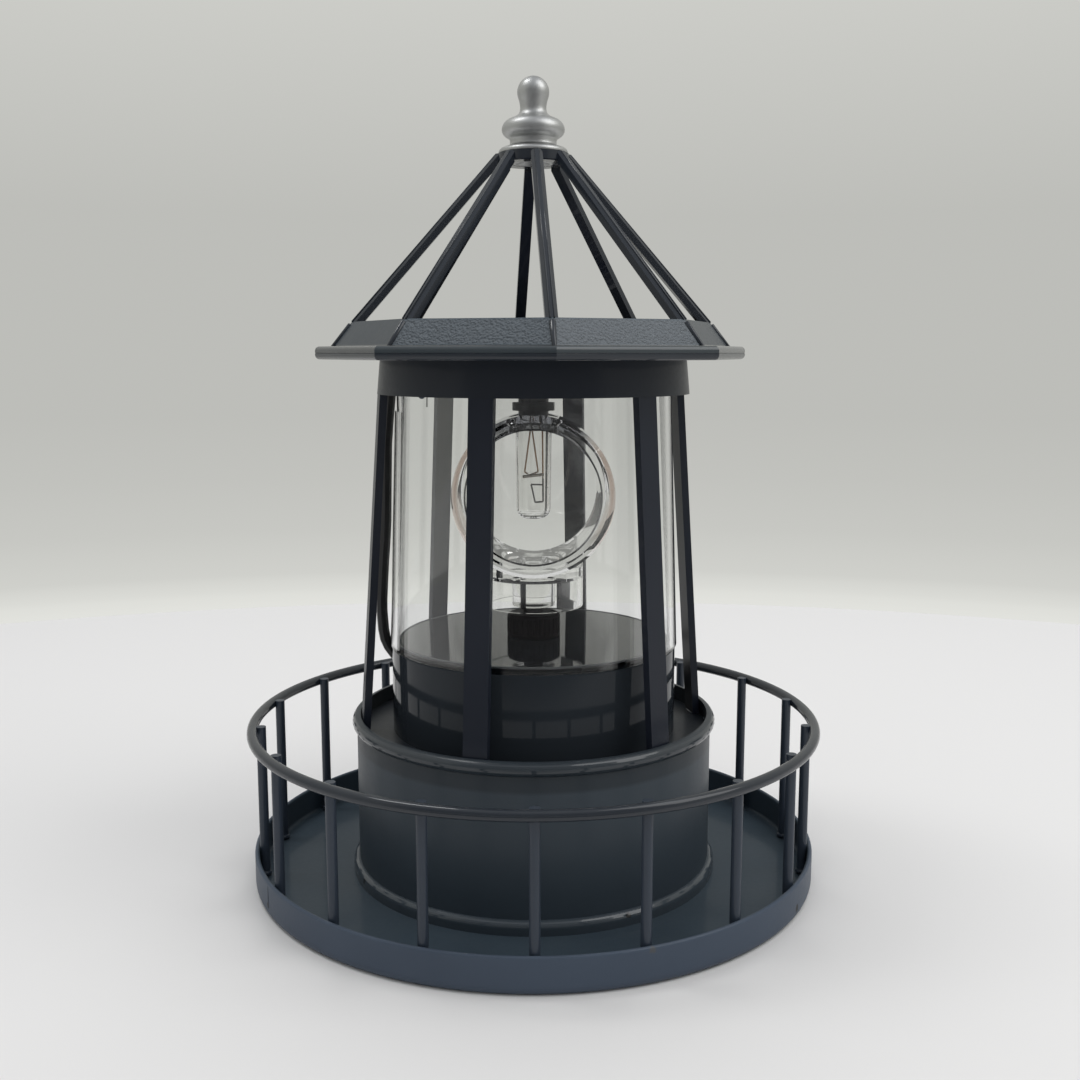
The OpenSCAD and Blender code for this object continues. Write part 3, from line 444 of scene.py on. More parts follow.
# Painted sheen: the share of 5.4 makes the eave's paint much paler.
eave_paint, eave_shader, eave_relief = painted(
    "eave paint", share=5.4, blue=0.86, dust=0.3, rough=(0.44, 0.56), bump=1.0, coat=(0.3, 0.2)
)
eave_tree = eave_paint.node_tree
eave_place = own_place(eave_tree)
pebbles = add(
    eave_tree, "ShaderNodeTexVoronoi", feature="SMOOTH_F1", Vector=eave_place, Scale=1700.0, Smoothness=0.6
)
creases = noise(eave_tree, eave_place, scale=900.0, detail=3.0, roughness=0.6)
pebbled = calc(eave_tree, "MULTIPLY_ADD", pebbles.outputs["Distance"], PEBBLE_SHARE, creases)
eave_normal = add(eave_tree, "ShaderNodeNewGeometry").outputs["Normal"]
facing = remap(eave_tree, calc(eave_tree, "ABSOLUTE", part_of(eave_tree, eave_normal, "Y")), *PANEL_FACING)
above_foot = height_mask(eave_tree, SLOPE_FOOT)
below_head = height_mask(eave_tree, SLOPE_HEAD, low=1.0, high=0.0)
panels = calc(eave_tree, "MULTIPLY", calc(eave_tree, "MULTIPLY", above_foot, below_head), facing)
lip = height_mask(eave_tree, LIP_TOP, low=1.0, high=0.0)
lip_coat = height_mask(eave_tree, LIP_TOP, low=0.9, high=0.35)
lip_gloss = height_mask(eave_tree, LIP_TOP, low=0.06, high=0.2)
feed(eave_tree, eave_relief.inputs["Distance"], 0.5 * MM)
feed(eave_tree, eave_relief.inputs["Height"], calc(eave_tree, "MULTIPLY", panels, pebbled))
feed(eave_tree, eave_shader.inputs["Coat Weight"], lip_coat)
feed(eave_tree, eave_shader.inputs["Coat Roughness"], lip_gloss)
# Painted light and shade: panels facing front and back are made paler for the sheen, the side panels and the
# lip darker.
shade(eave_tree, eave_shader, panels, PANEL_SHEEN)
shade(eave_tree, eave_shader, calc(eave_tree, "SUBTRACT", 1.0, facing), SIDE_SHADE)
shade(eave_tree, eave_shader, lip, LIP_SHADE)
dress(["roof_band"], eave_paint)


# %% [markdown]
# ## Glossy and matte black plastic
#
# The motor housing and its lid are moulded in a mirror-like black: the lid shows the hub and the
# backdrop as in water. The hub, the socket and the parts inside are the same plastic with a matte
# skin. All are a dark base with a plain Principled shader, and only the tone, the roughness and the
# strength of the reflection differ.

# %% Plastic materials
def plastic(name, color, rough, bump=0.02, scale=700.0, shine=0.5):
    material = new_material(name)
    tree = material.node_tree
    grain = group_node(tree, paint_grain, Peel_Scale=scale, Tone_Scale=60.0)
    gloss = remap(tree, grain["Gloss"], *GLOSS_RANGE, *rough)
    relief = add(tree, "ShaderNodeBump", Strength=bump, Distance=0.1 * MM, Height=grain["Height"])
    surface(
        tree, Base_Color=color, Specular_IOR_Level=shine, Roughness=gloss, Normal=relief.outputs["Normal"]
    )
    return material


gloss_black = plastic(
    "gloss black", (0.013, 0.0155, 0.0185, 1), (0.03, 0.06), bump=0.004, scale=160.0, shine=0.55
)
shell_black = plastic(
    "shell black", (0.0225, 0.027, 0.032, 1), (0.05, 0.09), bump=0.004, scale=160.0, shine=0.15
)
matte_black = plastic("matte black", (0.012, 0.012, 0.013, 1), (0.45, 0.6), bump=0.12)
hub_black = plastic("hub black", (0.011, 0.0085, 0.0095, 1), (0.5, 0.65), shine=0.05)
sheath = plastic("cable sheath", (0.008, 0.008, 0.009, 1), (0.32, 0.45), bump=0.08)
dress(["housing_lid", "solar_bezel"], gloss_black)
dress(["motor_housing"], shell_black)
dress(["lamp_socket", "battery_holder", "switch_body", "switch_slider"], matte_black)
dress(["drive_hub"], hub_black)
dress(["power_cable"], sheath)


# %% [markdown]
# ## Clear plastic and glass
#
# The tube and the lens are clear moulded plastic, and the bulb is glass. Light bends at each of their
# faces, which draws the dark lines at their edges. A plain glass shader would also keep the light off
# what stands inside, because a shadow ray can't bend. So a Light Path node lets shadow rays through
# as if the wall were a faint tint.

# %% Clear materials
def clear(name, ior, color, shadow):
    material = new_material(name)
    tree = material.node_tree
    shader, output = surface(
        tree, Base_Color=color, Roughness=0.0, IOR=ior, Transmission_Weight=1.0, Specular_IOR_Level=0.5
    )
    shadow_ray = add(tree, "ShaderNodeLightPath").outputs["Is Shadow Ray"]
    let_through = add(tree, "ShaderNodeBsdfTransparent", Color=shadow).outputs["BSDF"]
    mix = add(tree, "ShaderNodeMixShader", shadow_ray, shader.outputs["BSDF"], let_through)
    feed(tree, output.inputs["Surface"], mix.outputs["Shader"])
    return material, shader


tube_clear, _ = clear("clear tube", ior=1.47, color=(0.96, 0.965, 0.96, 1), shadow=(0.95, 0.96, 0.96, 1))
bulb_clear, _ = clear("bulb glass", ior=1.5, color=(0.97, 0.97, 0.96, 1), shadow=(0.95, 0.95, 0.95, 1))
dress(["clear_tube"], tube_clear)
dress(["bulb_glass"], bulb_clear)


# %% [markdown]
# ## The lens and its painted shade and highlights
#
# The lens is the same clear plastic, but its colour isn't clear all over. A black ring at the inner
# rim of each face is painted shade for the dark edge there. The crown round the bulb's opening is
# painted dark, a painted reflection of the dark ceiling above it, and the outer bevel is copper at
# both sides, a painted highlight. Each is a mask on the place in the ring: the distance from its
# axis, the height and the distance along the axis.

# %% Lens material
LENS_Z = 100.7
RIM_START = (16.5, 16.6)
RIM_END = (17.35, 17.5)
RIM_SIDE = (11.25, 11.4)
CROWN_FOOT = (13.2, 16.0)
BEVEL_START = (19.2, 19.7)
BEVEL_SIDE = (9.8, 10.2)
COPPER_SIDE = (13.5, 17.5)
LENS_COLOR = (0.975, 0.975, 0.97, 1)
CROWN_SHADE_COLOR = (0.2, 0.205, 0.22, 1)
COPPER_HIGHLIGHT = (0.62, 0.49, 0.43, 1)
RIM_SHADE_COLOR = (0.02, 0.02, 0.022, 1)
lens_clear, lens_shader = clear("clear lens", ior=1.49, color=LENS_COLOR, shadow=(0.93, 0.94, 0.94, 1))
lens_tree = lens_clear.node_tree
lens_place = add(
    lens_tree, "ShaderNodeMapping", Vector=own_place(lens_tree), Location=(0, 0, -LENS_Z * MM)
).outputs["Vector"]
lens_flat = add(lens_tree, "ShaderNodeVectorMath", lens_place, (1, 0, 1), operation="MULTIPLY")
lens_far = add(lens_tree, "ShaderNodeVectorMath", lens_flat.outputs["Vector"], operation="LENGTH")
ring_far = lens_far.outputs["Value"]


def side_of(axis):
    return calc(lens_tree, "ABSOLUTE", part_of(lens_tree, lens_place, axis))


def fade(value, edge, low=0.0, high=1.0):
    return remap(lens_tree, value, edge[0] * MM, edge[1] * MM, low, high)


def both_of(first, second):
    return calc(lens_tree, "MULTIPLY", first, second)


# Painted shade and highlight: a black ring at the inner rims, a dark crown for the ceiling seen above, copper
# on the bevel's sides.
near_rim = both_of(fade(ring_far, RIM_END, low=1.0, high=0.0), fade(side_of("Y"), RIM_SIDE))
rim_shade = both_of(near_rim, fade(ring_far, RIM_START))
crown_shade = fade(part_of(lens_tree, lens_place, "Z"), CROWN_FOOT)
bevel_ring = both_of(fade(ring_far, BEVEL_START), fade(side_of("Y"), BEVEL_SIDE))
copper_highlight = both_of(bevel_ring, fade(side_of("X"), COPPER_SIDE))
lens_color = mixed(lens_tree, crown_shade, LENS_COLOR, CROWN_SHADE_COLOR)
lens_color = mixed(lens_tree, copper_highlight, lens_color, COPPER_HIGHLIGHT)
lens_color = mixed(lens_tree, rim_shade, lens_color, RIM_SHADE_COLOR)
feed(lens_tree, lens_shader.inputs["Base Color"], lens_color)
dress(["lens_carrier"], lens_clear)


# %% [markdown]
# ## Metals
#
# The finial is a casting in a satin silver finish with a fine grain. Shaft, nut and screws are plain
# steel with turning marks. The wires in the bulb have three colours by place: copper legs on top, a
# pale glass bead across them, and a dark loop below.

# %% Metal materials
STREAK_RANGE = (0.3, 0.7)
WIRE_FOOT = 100
WIRE_HEAD = 120
WIRE_STOPS = [
    (0.0, (0.05, 0.045, 0.045, 1)),
    (0.225, (0.55, 0.5, 0.42, 1)),
    (0.29, (0.42, 0.24, 0.13, 1)),
]


def metal(name, color, rough, bump, stretch):
    material = new_material(name)
    tree = material.node_tree
    lines = group_node(tree, streaks, Stretch=stretch)["Height"]
    gloss = remap(tree, lines, *STREAK_RANGE, *rough)
    relief = add(tree, "ShaderNodeBump", Strength=bump, Distance=0.1 * MM, Height=lines)
    surface(tree, Base_Color=color, Metallic=1.0, Roughness=gloss, Normal=relief.outputs["Normal"])
    return material


EVEN_GRAIN = (1500.0, 1500.0, 1500.0)
ROUND_Z = (60.0, 60.0, 2500.0)
silver = metal("satin silver", (0.48, 0.485, 0.48, 1), rough=(0.38, 0.48), bump=0.14, stretch=EVEN_GRAIN)
steel = metal("plain steel", (0.45, 0.45, 0.46, 1), rough=(0.22, 0.4), bump=0.3, stretch=ROUND_Z)
dress(["finial"], silver)
dress(["motor", "motor_shaft", "socket_nut", "screws"], steel)

wire = new_material("lamp wires")
wire_tree = wire.node_tree
wire_share = remap(wire_tree, part_of(wire_tree, own_place(wire_tree), "Z"), WIRE_FOOT * MM, WIRE_HEAD * MM)
wire_color = color_ramp(wire_tree, wire_share, WIRE_STOPS, "CONSTANT")
surface(wire_tree, Base_Color=wire_color, Metallic=0.8, Roughness=0.35)
dress(["bulb_filament"], wire)


# %% [markdown]
# ## Solar panel
#
# The panel lies under the open roof: dark blue cells cut into strips, joined by thin silver lines,
# under a glossy clear coat. Fractions of the place make the lines: a line shows where the place is
# near a whole number of steps. A Mapping node turns the pattern with the panel, whose sides follow
# the octagon.

# %% Solar material
PANEL_TURN = 28
FINE_LINES = (2.2, 0.18)
STRIP_GAPS = (13.2, 0.5)
BUS_BARS = (26.4, 1.2)
solar = new_material("solar cells")
solar_tree = solar.node_tree
solar_place = add(
    solar_tree,
    "ShaderNodeMapping",
    Vector=own_place(solar_tree),
    Rotation=(0, 0, -math.radians(PANEL_TURN)),
).outputs["Vector"]


def line_mask(axis, step, width):
    shifted = calc(solar_tree, "MULTIPLY_ADD", part_of(solar_tree, solar_place, axis), 1 / (step * MM), 0.5)
    centred = calc(solar_tree, "SUBTRACT", calc(solar_tree, "FRACT", shifted), 0.5)
    return calc(solar_tree, "LESS_THAN", calc(solar_tree, "ABSOLUTE", centred), width / step / 2)


crystal = add(solar_tree, "ShaderNodeTexVoronoi", Vector=solar_place, Scale=260.0).outputs["Distance"]
silver_lines = calc(solar_tree, "MAXIMUM", line_mask("X", *FINE_LINES), line_mask("X", *BUS_BARS))
solar_color = mixed(solar_tree, crystal, (0.004, 0.006, 0.022, 1), (0.008, 0.012, 0.045, 1))
solar_color = mixed(solar_tree, silver_lines, solar_color, (0.33, 0.34, 0.36, 1))
solar_color = mixed(solar_tree, line_mask("Y", *STRIP_GAPS), solar_color, (0.02, 0.022, 0.024, 1))
surface(solar_tree, Base_Color=solar_color, Roughness=0.3, Coat_Weight=1.0, Coat_Roughness=0.04)
dress(["solar_panel"], solar)


# %% [markdown]
# ## Parts inside
#
# The circuit board and the rechargeable cell never show, but they are dressed too: a green board with
# a rough skin, and a cell in a smooth green sleeve.

# %% Board and cell
board_green = plastic("board green", (0.015, 0.11, 0.045, 1), (0.25, 0.4), bump=0.3, scale=1200.0)
cell_sleeve = plastic("cell sleeve", (0.03, 0.15, 0.07, 1), (0.15, 0.25))
dress(["circuit_board"], board_green)
dress(["battery"], cell_sleeve)


# %% [markdown]
# ## Helpers for new pieces
#
# The small pieces sit on round carriers, so most of them are placed by a turn from the front, a
# distance from the axis and a height, as in the part's own drawing. A lump is a small ball that is
# squashed along those three directions, a bar is a slim cone between two points, and a spun piece is
# an outline turned round the axis. Every piece gets its place in its mesh, and its object stays at the
# origin. The nodes' boxes say where the carriers are.

# %% Helpers for pieces
def polar(turn, radius, height):
    angle = math.radians(turn)
    return Vector((radius * math.sin(angle), -radius * math.cos(angle), height)) * MM


def seat(turn, radius, height, size):
    return (
        Matrix.Translation(polar(turn, radius, height))
        @ Matrix.Rotation(math.radians(turn), 4, "Z")
        @ Matrix.Diagonal((size[0] * MM, size[1] * MM, size[2] * MM, 1))
    )


def lump(mesh_data, turn, radius, height, size):
    place = seat(turn, radius, height, size)
    bmesh.ops.create_icosphere(mesh_data, subdivisions=2, radius=1.0, matrix=place)


def bevel(mesh_data, edges, width, steps):
    bmesh.ops.bevel(
        mesh_data,
        geom=list(edges),
        offset=width * MM,
        segments=steps,
        profile=0.5,
        affect="EDGES",
        material=-1,
    )


def bar(mesh_data, start, end, radii, sides, rim):
    way = end - start
    made = bmesh.ops.create_cone(
        mesh_data,
        cap_ends=True,
        segments=sides,
        radius1=radii[0] * MM,
        radius2=radii[1] * MM,
        depth=way.length,
        matrix=Matrix.Translation((start + end) / 2) @ way.to_track_quat("Z", "Y").to_matrix().to_4x4(),
    )
    around = {edge for vert in made["verts"] for edge in vert.link_edges if edge.calc_length() < MM}
    bevel(mesh_data, around, *rim)


def from_bmesh(name, mesh_data, material, smooth=True):
    mesh = bpy.data.meshes.new(name)
    mesh_data.to_mesh(mesh)
    mesh_data.free()
    for face in mesh.polygons:
        face.use_smooth = smooth
    mesh.materials.append(material)
    made = bpy.data.objects.new(name, mesh)
    bpy.context.collection.objects.link(made)
    print(name, "faces:", len(mesh.polygons))
    return made


def spun(name, points, material, steps):
    mesh_data = bmesh.new()
    ring = [mesh_data.verts.new((radius * MM, 0, height * MM)) for radius, height in points]
    lines = [mesh_data.edges.new(pair) for pair in zip(ring, ring[1:])]
    bmesh.ops.spin(
        mesh_data,
        geom=ring + lines,
        cent=(0, 0, 0),
        axis=(0, 0, 1),
        angle=math.tau,
        steps=steps,
        use_merge=True,
    )
    bmesh.ops.remove_doubles(mesh_data, verts=mesh_data.verts[:], dist=1e-6)
    bmesh.ops.recalc_face_normals(mesh_data, faces=mesh_data.faces[:])
    return from_bmesh(name, mesh_data, material)


def measure(node):
    low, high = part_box(node)
    return [round(c / MM, 2) for c in low], [round(c / MM, 2) for c in high]


collar_low, collar_high = measure("top_collar")
rail_low, rail_high = measure("rail")
COLLAR_R = collar_high[0]
COLLAR_FOOT_Z = collar_low[2]
RAIL_Z = (rail_low[2] + rail_high[2]) / 2
PLATE_TOP_Z = measure("ceiling_plate")[1][2]
BAND_TOP_Z = measure("roof_band")[1][2]
ROOF_TURN = 5.5
ROOF_CORNERS = 8
ROOF_STEP = 360 / ROOF_CORNERS
print("collar radius:", COLLAR_R, "rail height:", RAIL_Z, "eave top:", BAND_TOP_Z)


# %% [markdown]
# ## Welds
#
# The railing and the cage are welded. Each baluster has a small bead where it meets the rail and a
# puddle round its foot, each cage post has one along its foot and its head, and the skirt has a seam
# where its strip closes. A bead could be cut from the bars with booleans, but a squashed ball that
# sinks into both bars looks the same and stays light.

# %% Weld beads
BALUSTERS = 18
BALUSTER_TURN = 0.5
BALUSTER_R = 71.4
RAIL_BEAD_R = BALUSTER_R + 1.25
RAIL_BEAD = (1.5, 0.5, 0.95)
RAIL_BEAD_SWAY = 0.1
FOOT_Z = 2.2
FOOT_BEAD = (1.8, 1.7, 0.95)
POSTS = 6
POST_TURN = -17.3
POST_FOOT_R = 43.85
POST_FOOT_Z = 39.15
POST_FOOT_BEAD = (3.2, 0.45, 0.4)
POST_HEAD_R = COLLAR_R - 2.1
POST_HEAD_Z = COLLAR_FOOT_Z - 0.02
POST_HEAD_BEAD = (3.1, 0.4, 0.35)
DRIP_TURN = -41.4
DRIP_R = COLLAR_R - 0.6
DRIP_SIZE = (0.9, 0.5, 0.45)
SEAM_TURN = -61
SEAM_R = 73.85
SEAM_Z = 5.4
SEAM_SIZE = (0.3, 0.17, 3.4)
beads = bmesh.new()
for i in range(BALUSTERS):
    turn = BALUSTER_TURN + 360 / BALUSTERS * i
    lump(beads, turn, RAIL_BEAD_R, RAIL_Z + RAIL_BEAD_SWAY * math.sin(i), RAIL_BEAD)
    lump(beads, turn, BALUSTER_R, FOOT_Z, FOOT_BEAD)
for i in range(POSTS):
    turn = POST_TURN + 360 / POSTS * i
    lump(beads, turn, POST_FOOT_R, POST_FOOT_Z, POST_FOOT_BEAD)
    lump(beads, turn, POST_HEAD_R, POST_HEAD_Z, POST_HEAD_BEAD)
lump(beads, DRIP_TURN, DRIP_R, COLLAR_FOOT_Z, DRIP_SIZE)
lump(beads, SEAM_TURN, SEAM_R, SEAM_Z, SEAM_SIZE)
weld_beads = from_bmesh("weld_beads", beads, bar_paint)
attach(weld_beads, "frame")


# %% [markdown]
# ## Hip bars on the eave
#
# The eight corners of the sloped eave carry on the line of the roof's ribs: a half-round bar runs down
# each corner and narrows towards the lip. A short cone with bevelled ends, laid along the corner and
# sunk by half, gives it.

# %% Hip bars
BAND_FOOT_R = COLLAR_R + 10.8
BAND_HEAD_R = BAND_FOOT_R - 4.8
HIP_HEAD = (BAND_HEAD_R + 0.15, BAND_TOP_Z - 0.75)
HIP_FOOT = (BAND_FOOT_R + 0.55, PLATE_TOP_Z + 1.05)
HIP_RADII = (0.85, 0.5)
HIP_SIDES = 20
HIP_RIM = (0.25, 2)
hips = bmesh.new()
for i in range(ROOF_CORNERS):
    turn = ROOF_TURN + ROOF_STEP * i
    bar(hips, polar(turn, *HIP_HEAD), polar(turn, *HIP_FOOT), HIP_RADII, HIP_SIDES, HIP_RIM)
hip_bars = from_bmesh("hip_bars", hips, rib_paint)
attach(hip_bars, "frame")


# %% [markdown]
# ## Edges of the ribs
#
# Each rib has a flat ridge, and the paint gathers in a fine bead along both of its edges. The beads
# are what shows as two thin bright lines on every rib. Sixteen slim bars follow the ridges from the
# eave to the apex ring.

# %% Rib edges
APEX_TOP_Z = 186.1
RIB_HEAD = (9.5, APEX_TOP_Z - 0.3)
RIB_FOOT = (BAND_HEAD_R, BAND_TOP_Z)
RIB_EDGE = 0.5
EDGE_RADII = (0.21, 0.21)
EDGE_SIDES = 10
EDGE_RIM = (0.08, 1)
edges = bmesh.new()
for i in range(ROOF_CORNERS):
    turn = ROOF_TURN + ROOF_STEP * i
    aside = Vector((math.cos(math.radians(turn)), math.sin(math.radians(turn)), 0)) * RIB_EDGE * MM
    for side in (-1, 1):
        foot = polar(turn, *RIB_FOOT) + side * aside
        head = polar(turn, *RIB_HEAD) + side * aside
        bar(edges, foot, head, EDGE_RADII, EDGE_SIDES, EDGE_RIM)
rib_edges = from_bmesh("rib_edges", edges, rib_paint)
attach(rib_edges, "frame")


# %% [markdown]
# ## Finial casting
#
# The finial is one turned or cast piece whose curves run into each other: the ball narrows into the
# neck, the neck flares into the bulge, and the foot is a thin round-edged disc. The solid has the same
# sizes with harder transitions, so a smoother casting stands for it. It is one outline of points, spun
# round the axis, with the hollow spigot that sits in the apex ring.

# %% Finial casting
FINIAL_TOP_Z = 205.0
FINIAL_FOOT_Z = measure("finial")[0][2]
BALL_R = 4.0
SPIGOT_R = 5.2
BORE_R = 4.1
BORE_TOP_Z = 188.3
SOFT = 0.1
top = [(0, FINIAL_TOP_Z)]
ball = [
    (BALL_R * math.cos(math.radians(turn)), FINIAL_TOP_Z - BALL_R + BALL_R * math.sin(math.radians(turn)))
    for turn in range(84, -24, -6)
]
neck = [
    (3.58, 199.1), (3.47, 198.7), (3.38, 198.25), (3.31, 197.75), (3.28, 197.25), (3.31, 196.75),
    (3.42, 196.3), (3.68, 195.85), (4.15, 195.4), (4.85, 195.03),
]
bulge = [
    (5.6, 194.74), (6.35, 194.4), (6.98, 193.95), (7.45, 193.4), (7.77, 192.75), (7.9, 192.1),
    (7.83, 191.45), (7.56, 190.9), (7.1, 190.42), (6.52, 190.05),
]
waist = [(6.12, 189.82), (5.93, 189.55), (5.86, 189.2), (5.86, 188.8), (5.92, 188.42), (6.1, 188.1)]
flange = [
    (6.5, 187.88), (7.1, 187.74), (7.7, 187.6), (8.2, 187.36), (8.53, 187.02), (8.69, 186.62),
    (8.66, 186.3), (8.52, 186.12), (8.4, APEX_TOP_Z), (5.3, APEX_TOP_Z),
]
spigot = [
    (SPIGOT_R, 186.09), (SPIGOT_R, 186.0), (SPIGOT_R, FINIAL_FOOT_Z + SOFT), (SPIGOT_R - SOFT, FINIAL_FOOT_Z),
    (BORE_R + SOFT, FINIAL_FOOT_Z), (BORE_R, FINIAL_FOOT_Z + SOFT), (BORE_R, BORE_TOP_Z - SOFT),
    (BORE_R - SOFT, BORE_TOP_Z), (0, BORE_TOP_Z),
]
finial_casting = spun("finial_casting", top + ball + neck + bulge + waist + flange + spigot, silver, 96)
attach(finial_casting, "frame")
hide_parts("finial")


# %% [markdown]
# ## Rim of the lid
#
# The glossy lid ends in a fine rounded rim, which shows as a bright thin line in front of the hub. A
# thin ring, spun from a small circle, lies on the lid's edge. Its pale grey base, much lighter than
# the lid's black, is a painted highlight that makes the line brighter.

# %% Lid rim
LID_RIM_R = 0.32
LID_SINK = 0.15
lid_high = measure("housing_lid")[1]
rim_points = [
    (
        lid_high[0] - LID_RIM_R + LID_RIM_R * math.cos(math.radians(turn)),
        lid_high[2] - LID_SINK + LID_RIM_R * math.sin(math.radians(turn)),
    )
    for turn in range(0, 361, 30)
]
# Painted highlight: a pale grey base, far lighter than the lid's black, brightens the rim's line.
rim_highlight_grey = plastic("rim highlight grey", (0.1, 0.105, 0.11, 1), (0.08, 0.12), bump=0.004)
lid_rim = spun("lid_rim", rim_points, rim_highlight_grey, 128)
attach(lid_rim, "frame")


# %% [markdown]
# ## Dark strips in the lens cup
#
# Two narrow dark strips stand in the clear cup under the lens. They are painted shade: dark blocks
# put where the cup shows two dark lines, which the light bending in its walls draws. They are small
# bevelled blocks, and they turn with the lens.

# %% Lens dark strips
SHADE_STRIP_PLACES = [(-21, 7.0), (43, 9.5)]
SHADE_STRIP_Z = 75.05
SHADE_STRIP_SIZE = (1.05, 0.9, 7.4)
SHADE_STRIP_RIM = (0.12, 2)
# Painted shade: dark blocks put where the clear cup shows two dark lines.
shade_strips = bmesh.new()
for turn, radius in SHADE_STRIP_PLACES:
    block = bmesh.ops.create_cube(shade_strips, size=1.0, matrix=seat(turn, radius, SHADE_STRIP_Z, SHADE_STRIP_SIZE))
    bevel(shade_strips, {edge for vert in block["verts"] for edge in vert.link_edges}, *SHADE_STRIP_RIM)
strip_shade_black = plastic("strip shade black", (0.0025, 0.0025, 0.006, 1), (0.5, 0.6), bump=0.05, shine=0.05)
lens_shade_strips = from_bmesh("lens_shade_strips", shade_strips, strip_shade_black)
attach(lens_shade_strips, "rotor")


# %% [markdown]
# ## Floor
#
# The picture's ground is a pale table. A disc makes it and takes the object's soft shadow. Its tone
# drops a little towards the back, as in the picture.

# %% Floor
STAGE_Y = -0.3
FLOOR_R = 0.66
FLOOR_FADE = (-0.05, 0.36)
FLOOR_NEAR = (0.74, 0.727, 0.712, 1)
FLOOR_FAR = (0.735, 0.722, 0.706, 1)
STAGE_STEPS = 160
floor_material = new_material("pale table")
floor_tree = floor_material.node_tree
floor_far = remap(floor_tree, part_of(floor_tree, own_place(floor_tree), "Y"), *FLOOR_FADE)
floor_color = mixed(floor_tree, floor_far, FLOOR_NEAR, FLOOR_FAR)
surface(floor_tree, Base_Color=floor_color, Roughness=0.85, Specular_IOR_Level=0.15)

table = bmesh.new()
bmesh.ops.create_circle(
    table,
    cap_ends=True,
    segments=STAGE_STEPS,
    radius=FLOOR_R,
    matrix=Matrix.Translation((0, STAGE_Y, 0)),
)
floor = from_bmesh("table_top", table, floor_material, smooth=False)


# %% [markdown]
# ## Backdrop
#
# The table runs into a pale wall without a corner. A bowl round the table makes the wall. The camera,
# mirrors and glass see its colour, which is brightest at its foot, and it lets the lamps' light pass.

# %% Backdrop
WALL_R = 0.45
WALL_H = 1.4
WALL_BAND = 0.5
WALL_TINT = (1.0, 1.005, 0.955)
WALL_LEVELS = [
    (0.0, 0.76), (0.004, 0.7), (0.012, 0.625), (0.045, 0.57), (0.1, 0.535), (0.18, 0.51), (0.5, 0.51),
    (0.9, 0.61),
]
CURVE_STEPS = 24
wall_material = new_material("pale wall")
wall_tree = wall_material.node_tree
wall_share = remap(wall_tree, part_of(wall_tree, own_place(wall_tree), "Z"), 0.0, WALL_BAND)
wall_stops = [(place, (*(level * part for part in WALL_TINT), 1)) for place, level in WALL_LEVELS]
wall_color = color_ramp(wall_tree, wall_share, wall_stops)
wall_glow = add(wall_tree, "ShaderNodeEmission", Color=wall_color, Strength=1.0).outputs["Emission"]
wall_open = add(wall_tree, "ShaderNodeBsdfTransparent").outputs["BSDF"]
wall_path = add(wall_tree, "ShaderNodeLightPath").outputs
wall_seen = calc(wall_tree, "MAXIMUM", wall_path["Is Camera Ray"], wall_path["Is Glossy Ray"])
wall_any = calc(wall_tree, "MAXIMUM", wall_seen, wall_path["Is Transmission Ray"])
wall_mix = add(wall_tree, "ShaderNodeMixShader", wall_any, wall_open, wall_glow)
add(wall_tree, "ShaderNodeOutputMaterial", Surface=wall_mix.outputs["Shader"])

bowl = bmesh.new()
profile = [bowl.verts.new((FLOOR_R, STAGE_Y, 0))]
for step in range(1, CURVE_STEPS + 1):
    angle = math.radians(90 * step / CURVE_STEPS)
    spot = (FLOOR_R + WALL_R * math.sin(angle), STAGE_Y, WALL_R * (1 - math.cos(angle)))
    profile.append(bowl.verts.new(spot))
profile.append(bowl.verts.new((FLOOR_R + WALL_R, STAGE_Y, WALL_H)))
outline = [bowl.edges.new(pair) for pair in zip(profile, profile[1:])]
bmesh.ops.spin(
    bowl,
    geom=profile + outline,
    cent=(0, STAGE_Y, 0),
    axis=(0, 0, 1),
    angle=math.tau,
    steps=STAGE_STEPS,
    use_merge=True,
)
wall = from_bmesh("backdrop", bowl, wall_material)
wall.visible_shadow = False
wall.visible_diffuse = False
print("table radius:", FLOOR_R, "wall radius:", FLOOR_R + WALL_R)


# %% [markdown]
# ## Dark cards
#
# Whoever takes such a picture stands in front of the object, and is the darkest thing in the room. A
# dark card that stands behind the camera is in that place, and a second one lies on the table below
# it. Only reflections see them: they keep the lid, the tube and the finial's middle dark, and take no
# light from the object. Each has a centre, a tip round the X axis in degrees, half its width and
# length, and a tone. Their edges fade, so that no hard line is mirrored.

# %% Dark cards
CARDS = [
    ((0.0, -0.5, 0.35), 90, (0.75, 0.32), 0.3),
    ((0.0, -0.42, 0.002), 0, (0.5, 0.24), 0.1),
]
CARD_FADE = (0.45, 0.3)
CARD_CELLS = 24
card_material = new_material("dark card")
card_tree = card_material.node_tree
card_tone = add(card_tree, "ShaderNodeAttribute", attribute_name="tone").outputs["Fac"]
card_solid = add(card_tree, "ShaderNodeAttribute", attribute_name="solid").outputs["Fac"]
card_shader, card_output = surface(
    card_tree, Base_Color=card_tone, Roughness=0.9, Specular_IOR_Level=0.1
)
card_open = add(card_tree, "ShaderNodeBsdfTransparent").outputs["BSDF"]
card_mix = add(card_tree, "ShaderNodeMixShader", card_solid, card_open, card_shader.outputs["BSDF"])
feed(card_tree, card_output.inputs["Surface"], card_mix.outputs["Shader"])

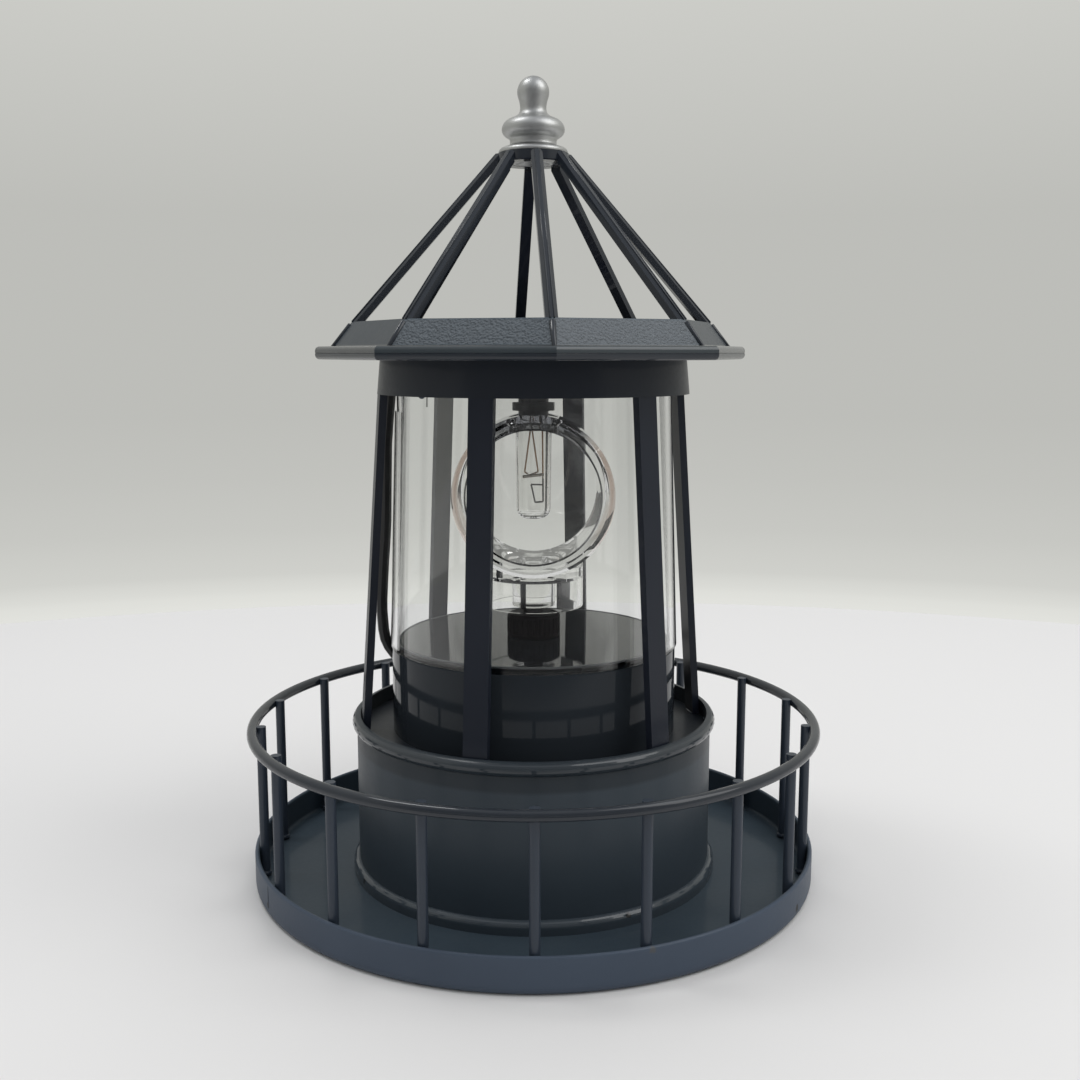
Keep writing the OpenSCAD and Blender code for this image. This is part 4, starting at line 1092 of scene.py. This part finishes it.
card_mesh = bmesh.new()
card_mesh.verts.layers.float.new("solid")
card_mesh.verts.layers.float.new("tone")
solid_layer = card_mesh.verts.layers.float["solid"]
tone_layer = card_mesh.verts.layers.float["tone"]
for place, tip, half, level in CARDS:
    lie = Matrix.Translation(place) @ Matrix.Rotation(math.radians(tip), 4, "X")
    made = bmesh.ops.create_grid(card_mesh, x_segments=CARD_CELLS, y_segments=CARD_CELLS, size=1.0)
    for vert in made["verts"]:
        inside = min((1 - abs(vert.co.x)) / CARD_FADE[0], (1 - abs(vert.co.y)) / CARD_FADE[1], 1)
        vert[solid_layer] = inside * inside * (3 - 2 * inside)
        vert[tone_layer] = level
        vert.co = lie @ Vector((vert.co.x * half[0], vert.co.y * half[1], 0))
card = from_bmesh("dark_cards", card_mesh, card_material, smooth=False)
card.visible_camera = False
card.visible_diffuse = False
card.visible_shadow = False


# %% [markdown]
# ## Light
#
# The silver finial is a small map of the room: it shows one bright window above on the left, a wider
# one on the right, and a dark gap between them, where the person with the camera stood. So two area
# lamps stand at those places. Two weaker ones, behind and in front, only soften the shadows, and
# nothing mirrors them. Each lamp has a place, a size, a power and whether it is mirrored.

# %% Lamps and world
LAMPS = [
    ("rear lamp", (0.0, 0.42, 1.15), (0.7, 0.6), 3.0, False),
    ("left lamp", (-0.48, 0.08, 1.1), (0.25, 0.4), 2.3, True),
    ("right lamp", (0.78, -0.2, 0.95), (0.75, 0.9), 4.6, True),
    ("front fill", (0.1, -0.55, 1.1), (0.7, 0.7), 1.6, False),
]
LAMP_TARGET = Vector((0, 0, 0.08))
ROOM_COLOR = (0.93, 0.96, 1.0, 1)
ROOM_STRENGTH = 0.56
for name, place, size, power, mirrored in LAMPS:
    data = bpy.data.lights.new(name, "AREA")
    data.shape = "RECTANGLE"
    data.size, data.size_y = size
    data.energy = power
    lamp = bpy.data.objects.new(name, data)
    lamp.location = place
    lamp.rotation_euler = (LAMP_TARGET - Vector(place)).to_track_quat("-Z", "Y").to_euler()
    lamp.visible_glossy = mirrored
    lamp.visible_transmission = mirrored
    bpy.context.collection.objects.link(lamp)

world = bpy.data.worlds.new("world")
bpy.context.scene.world = world
world.use_nodes = True
background = world.node_tree.nodes["Background"]
background.inputs["Color"].default_value = ROOM_COLOR
background.inputs["Strength"].default_value = ROOM_STRENGTH
bpy.context.scene.view_settings.view_transform = "Standard"
print("lamps:", len(LAMPS))
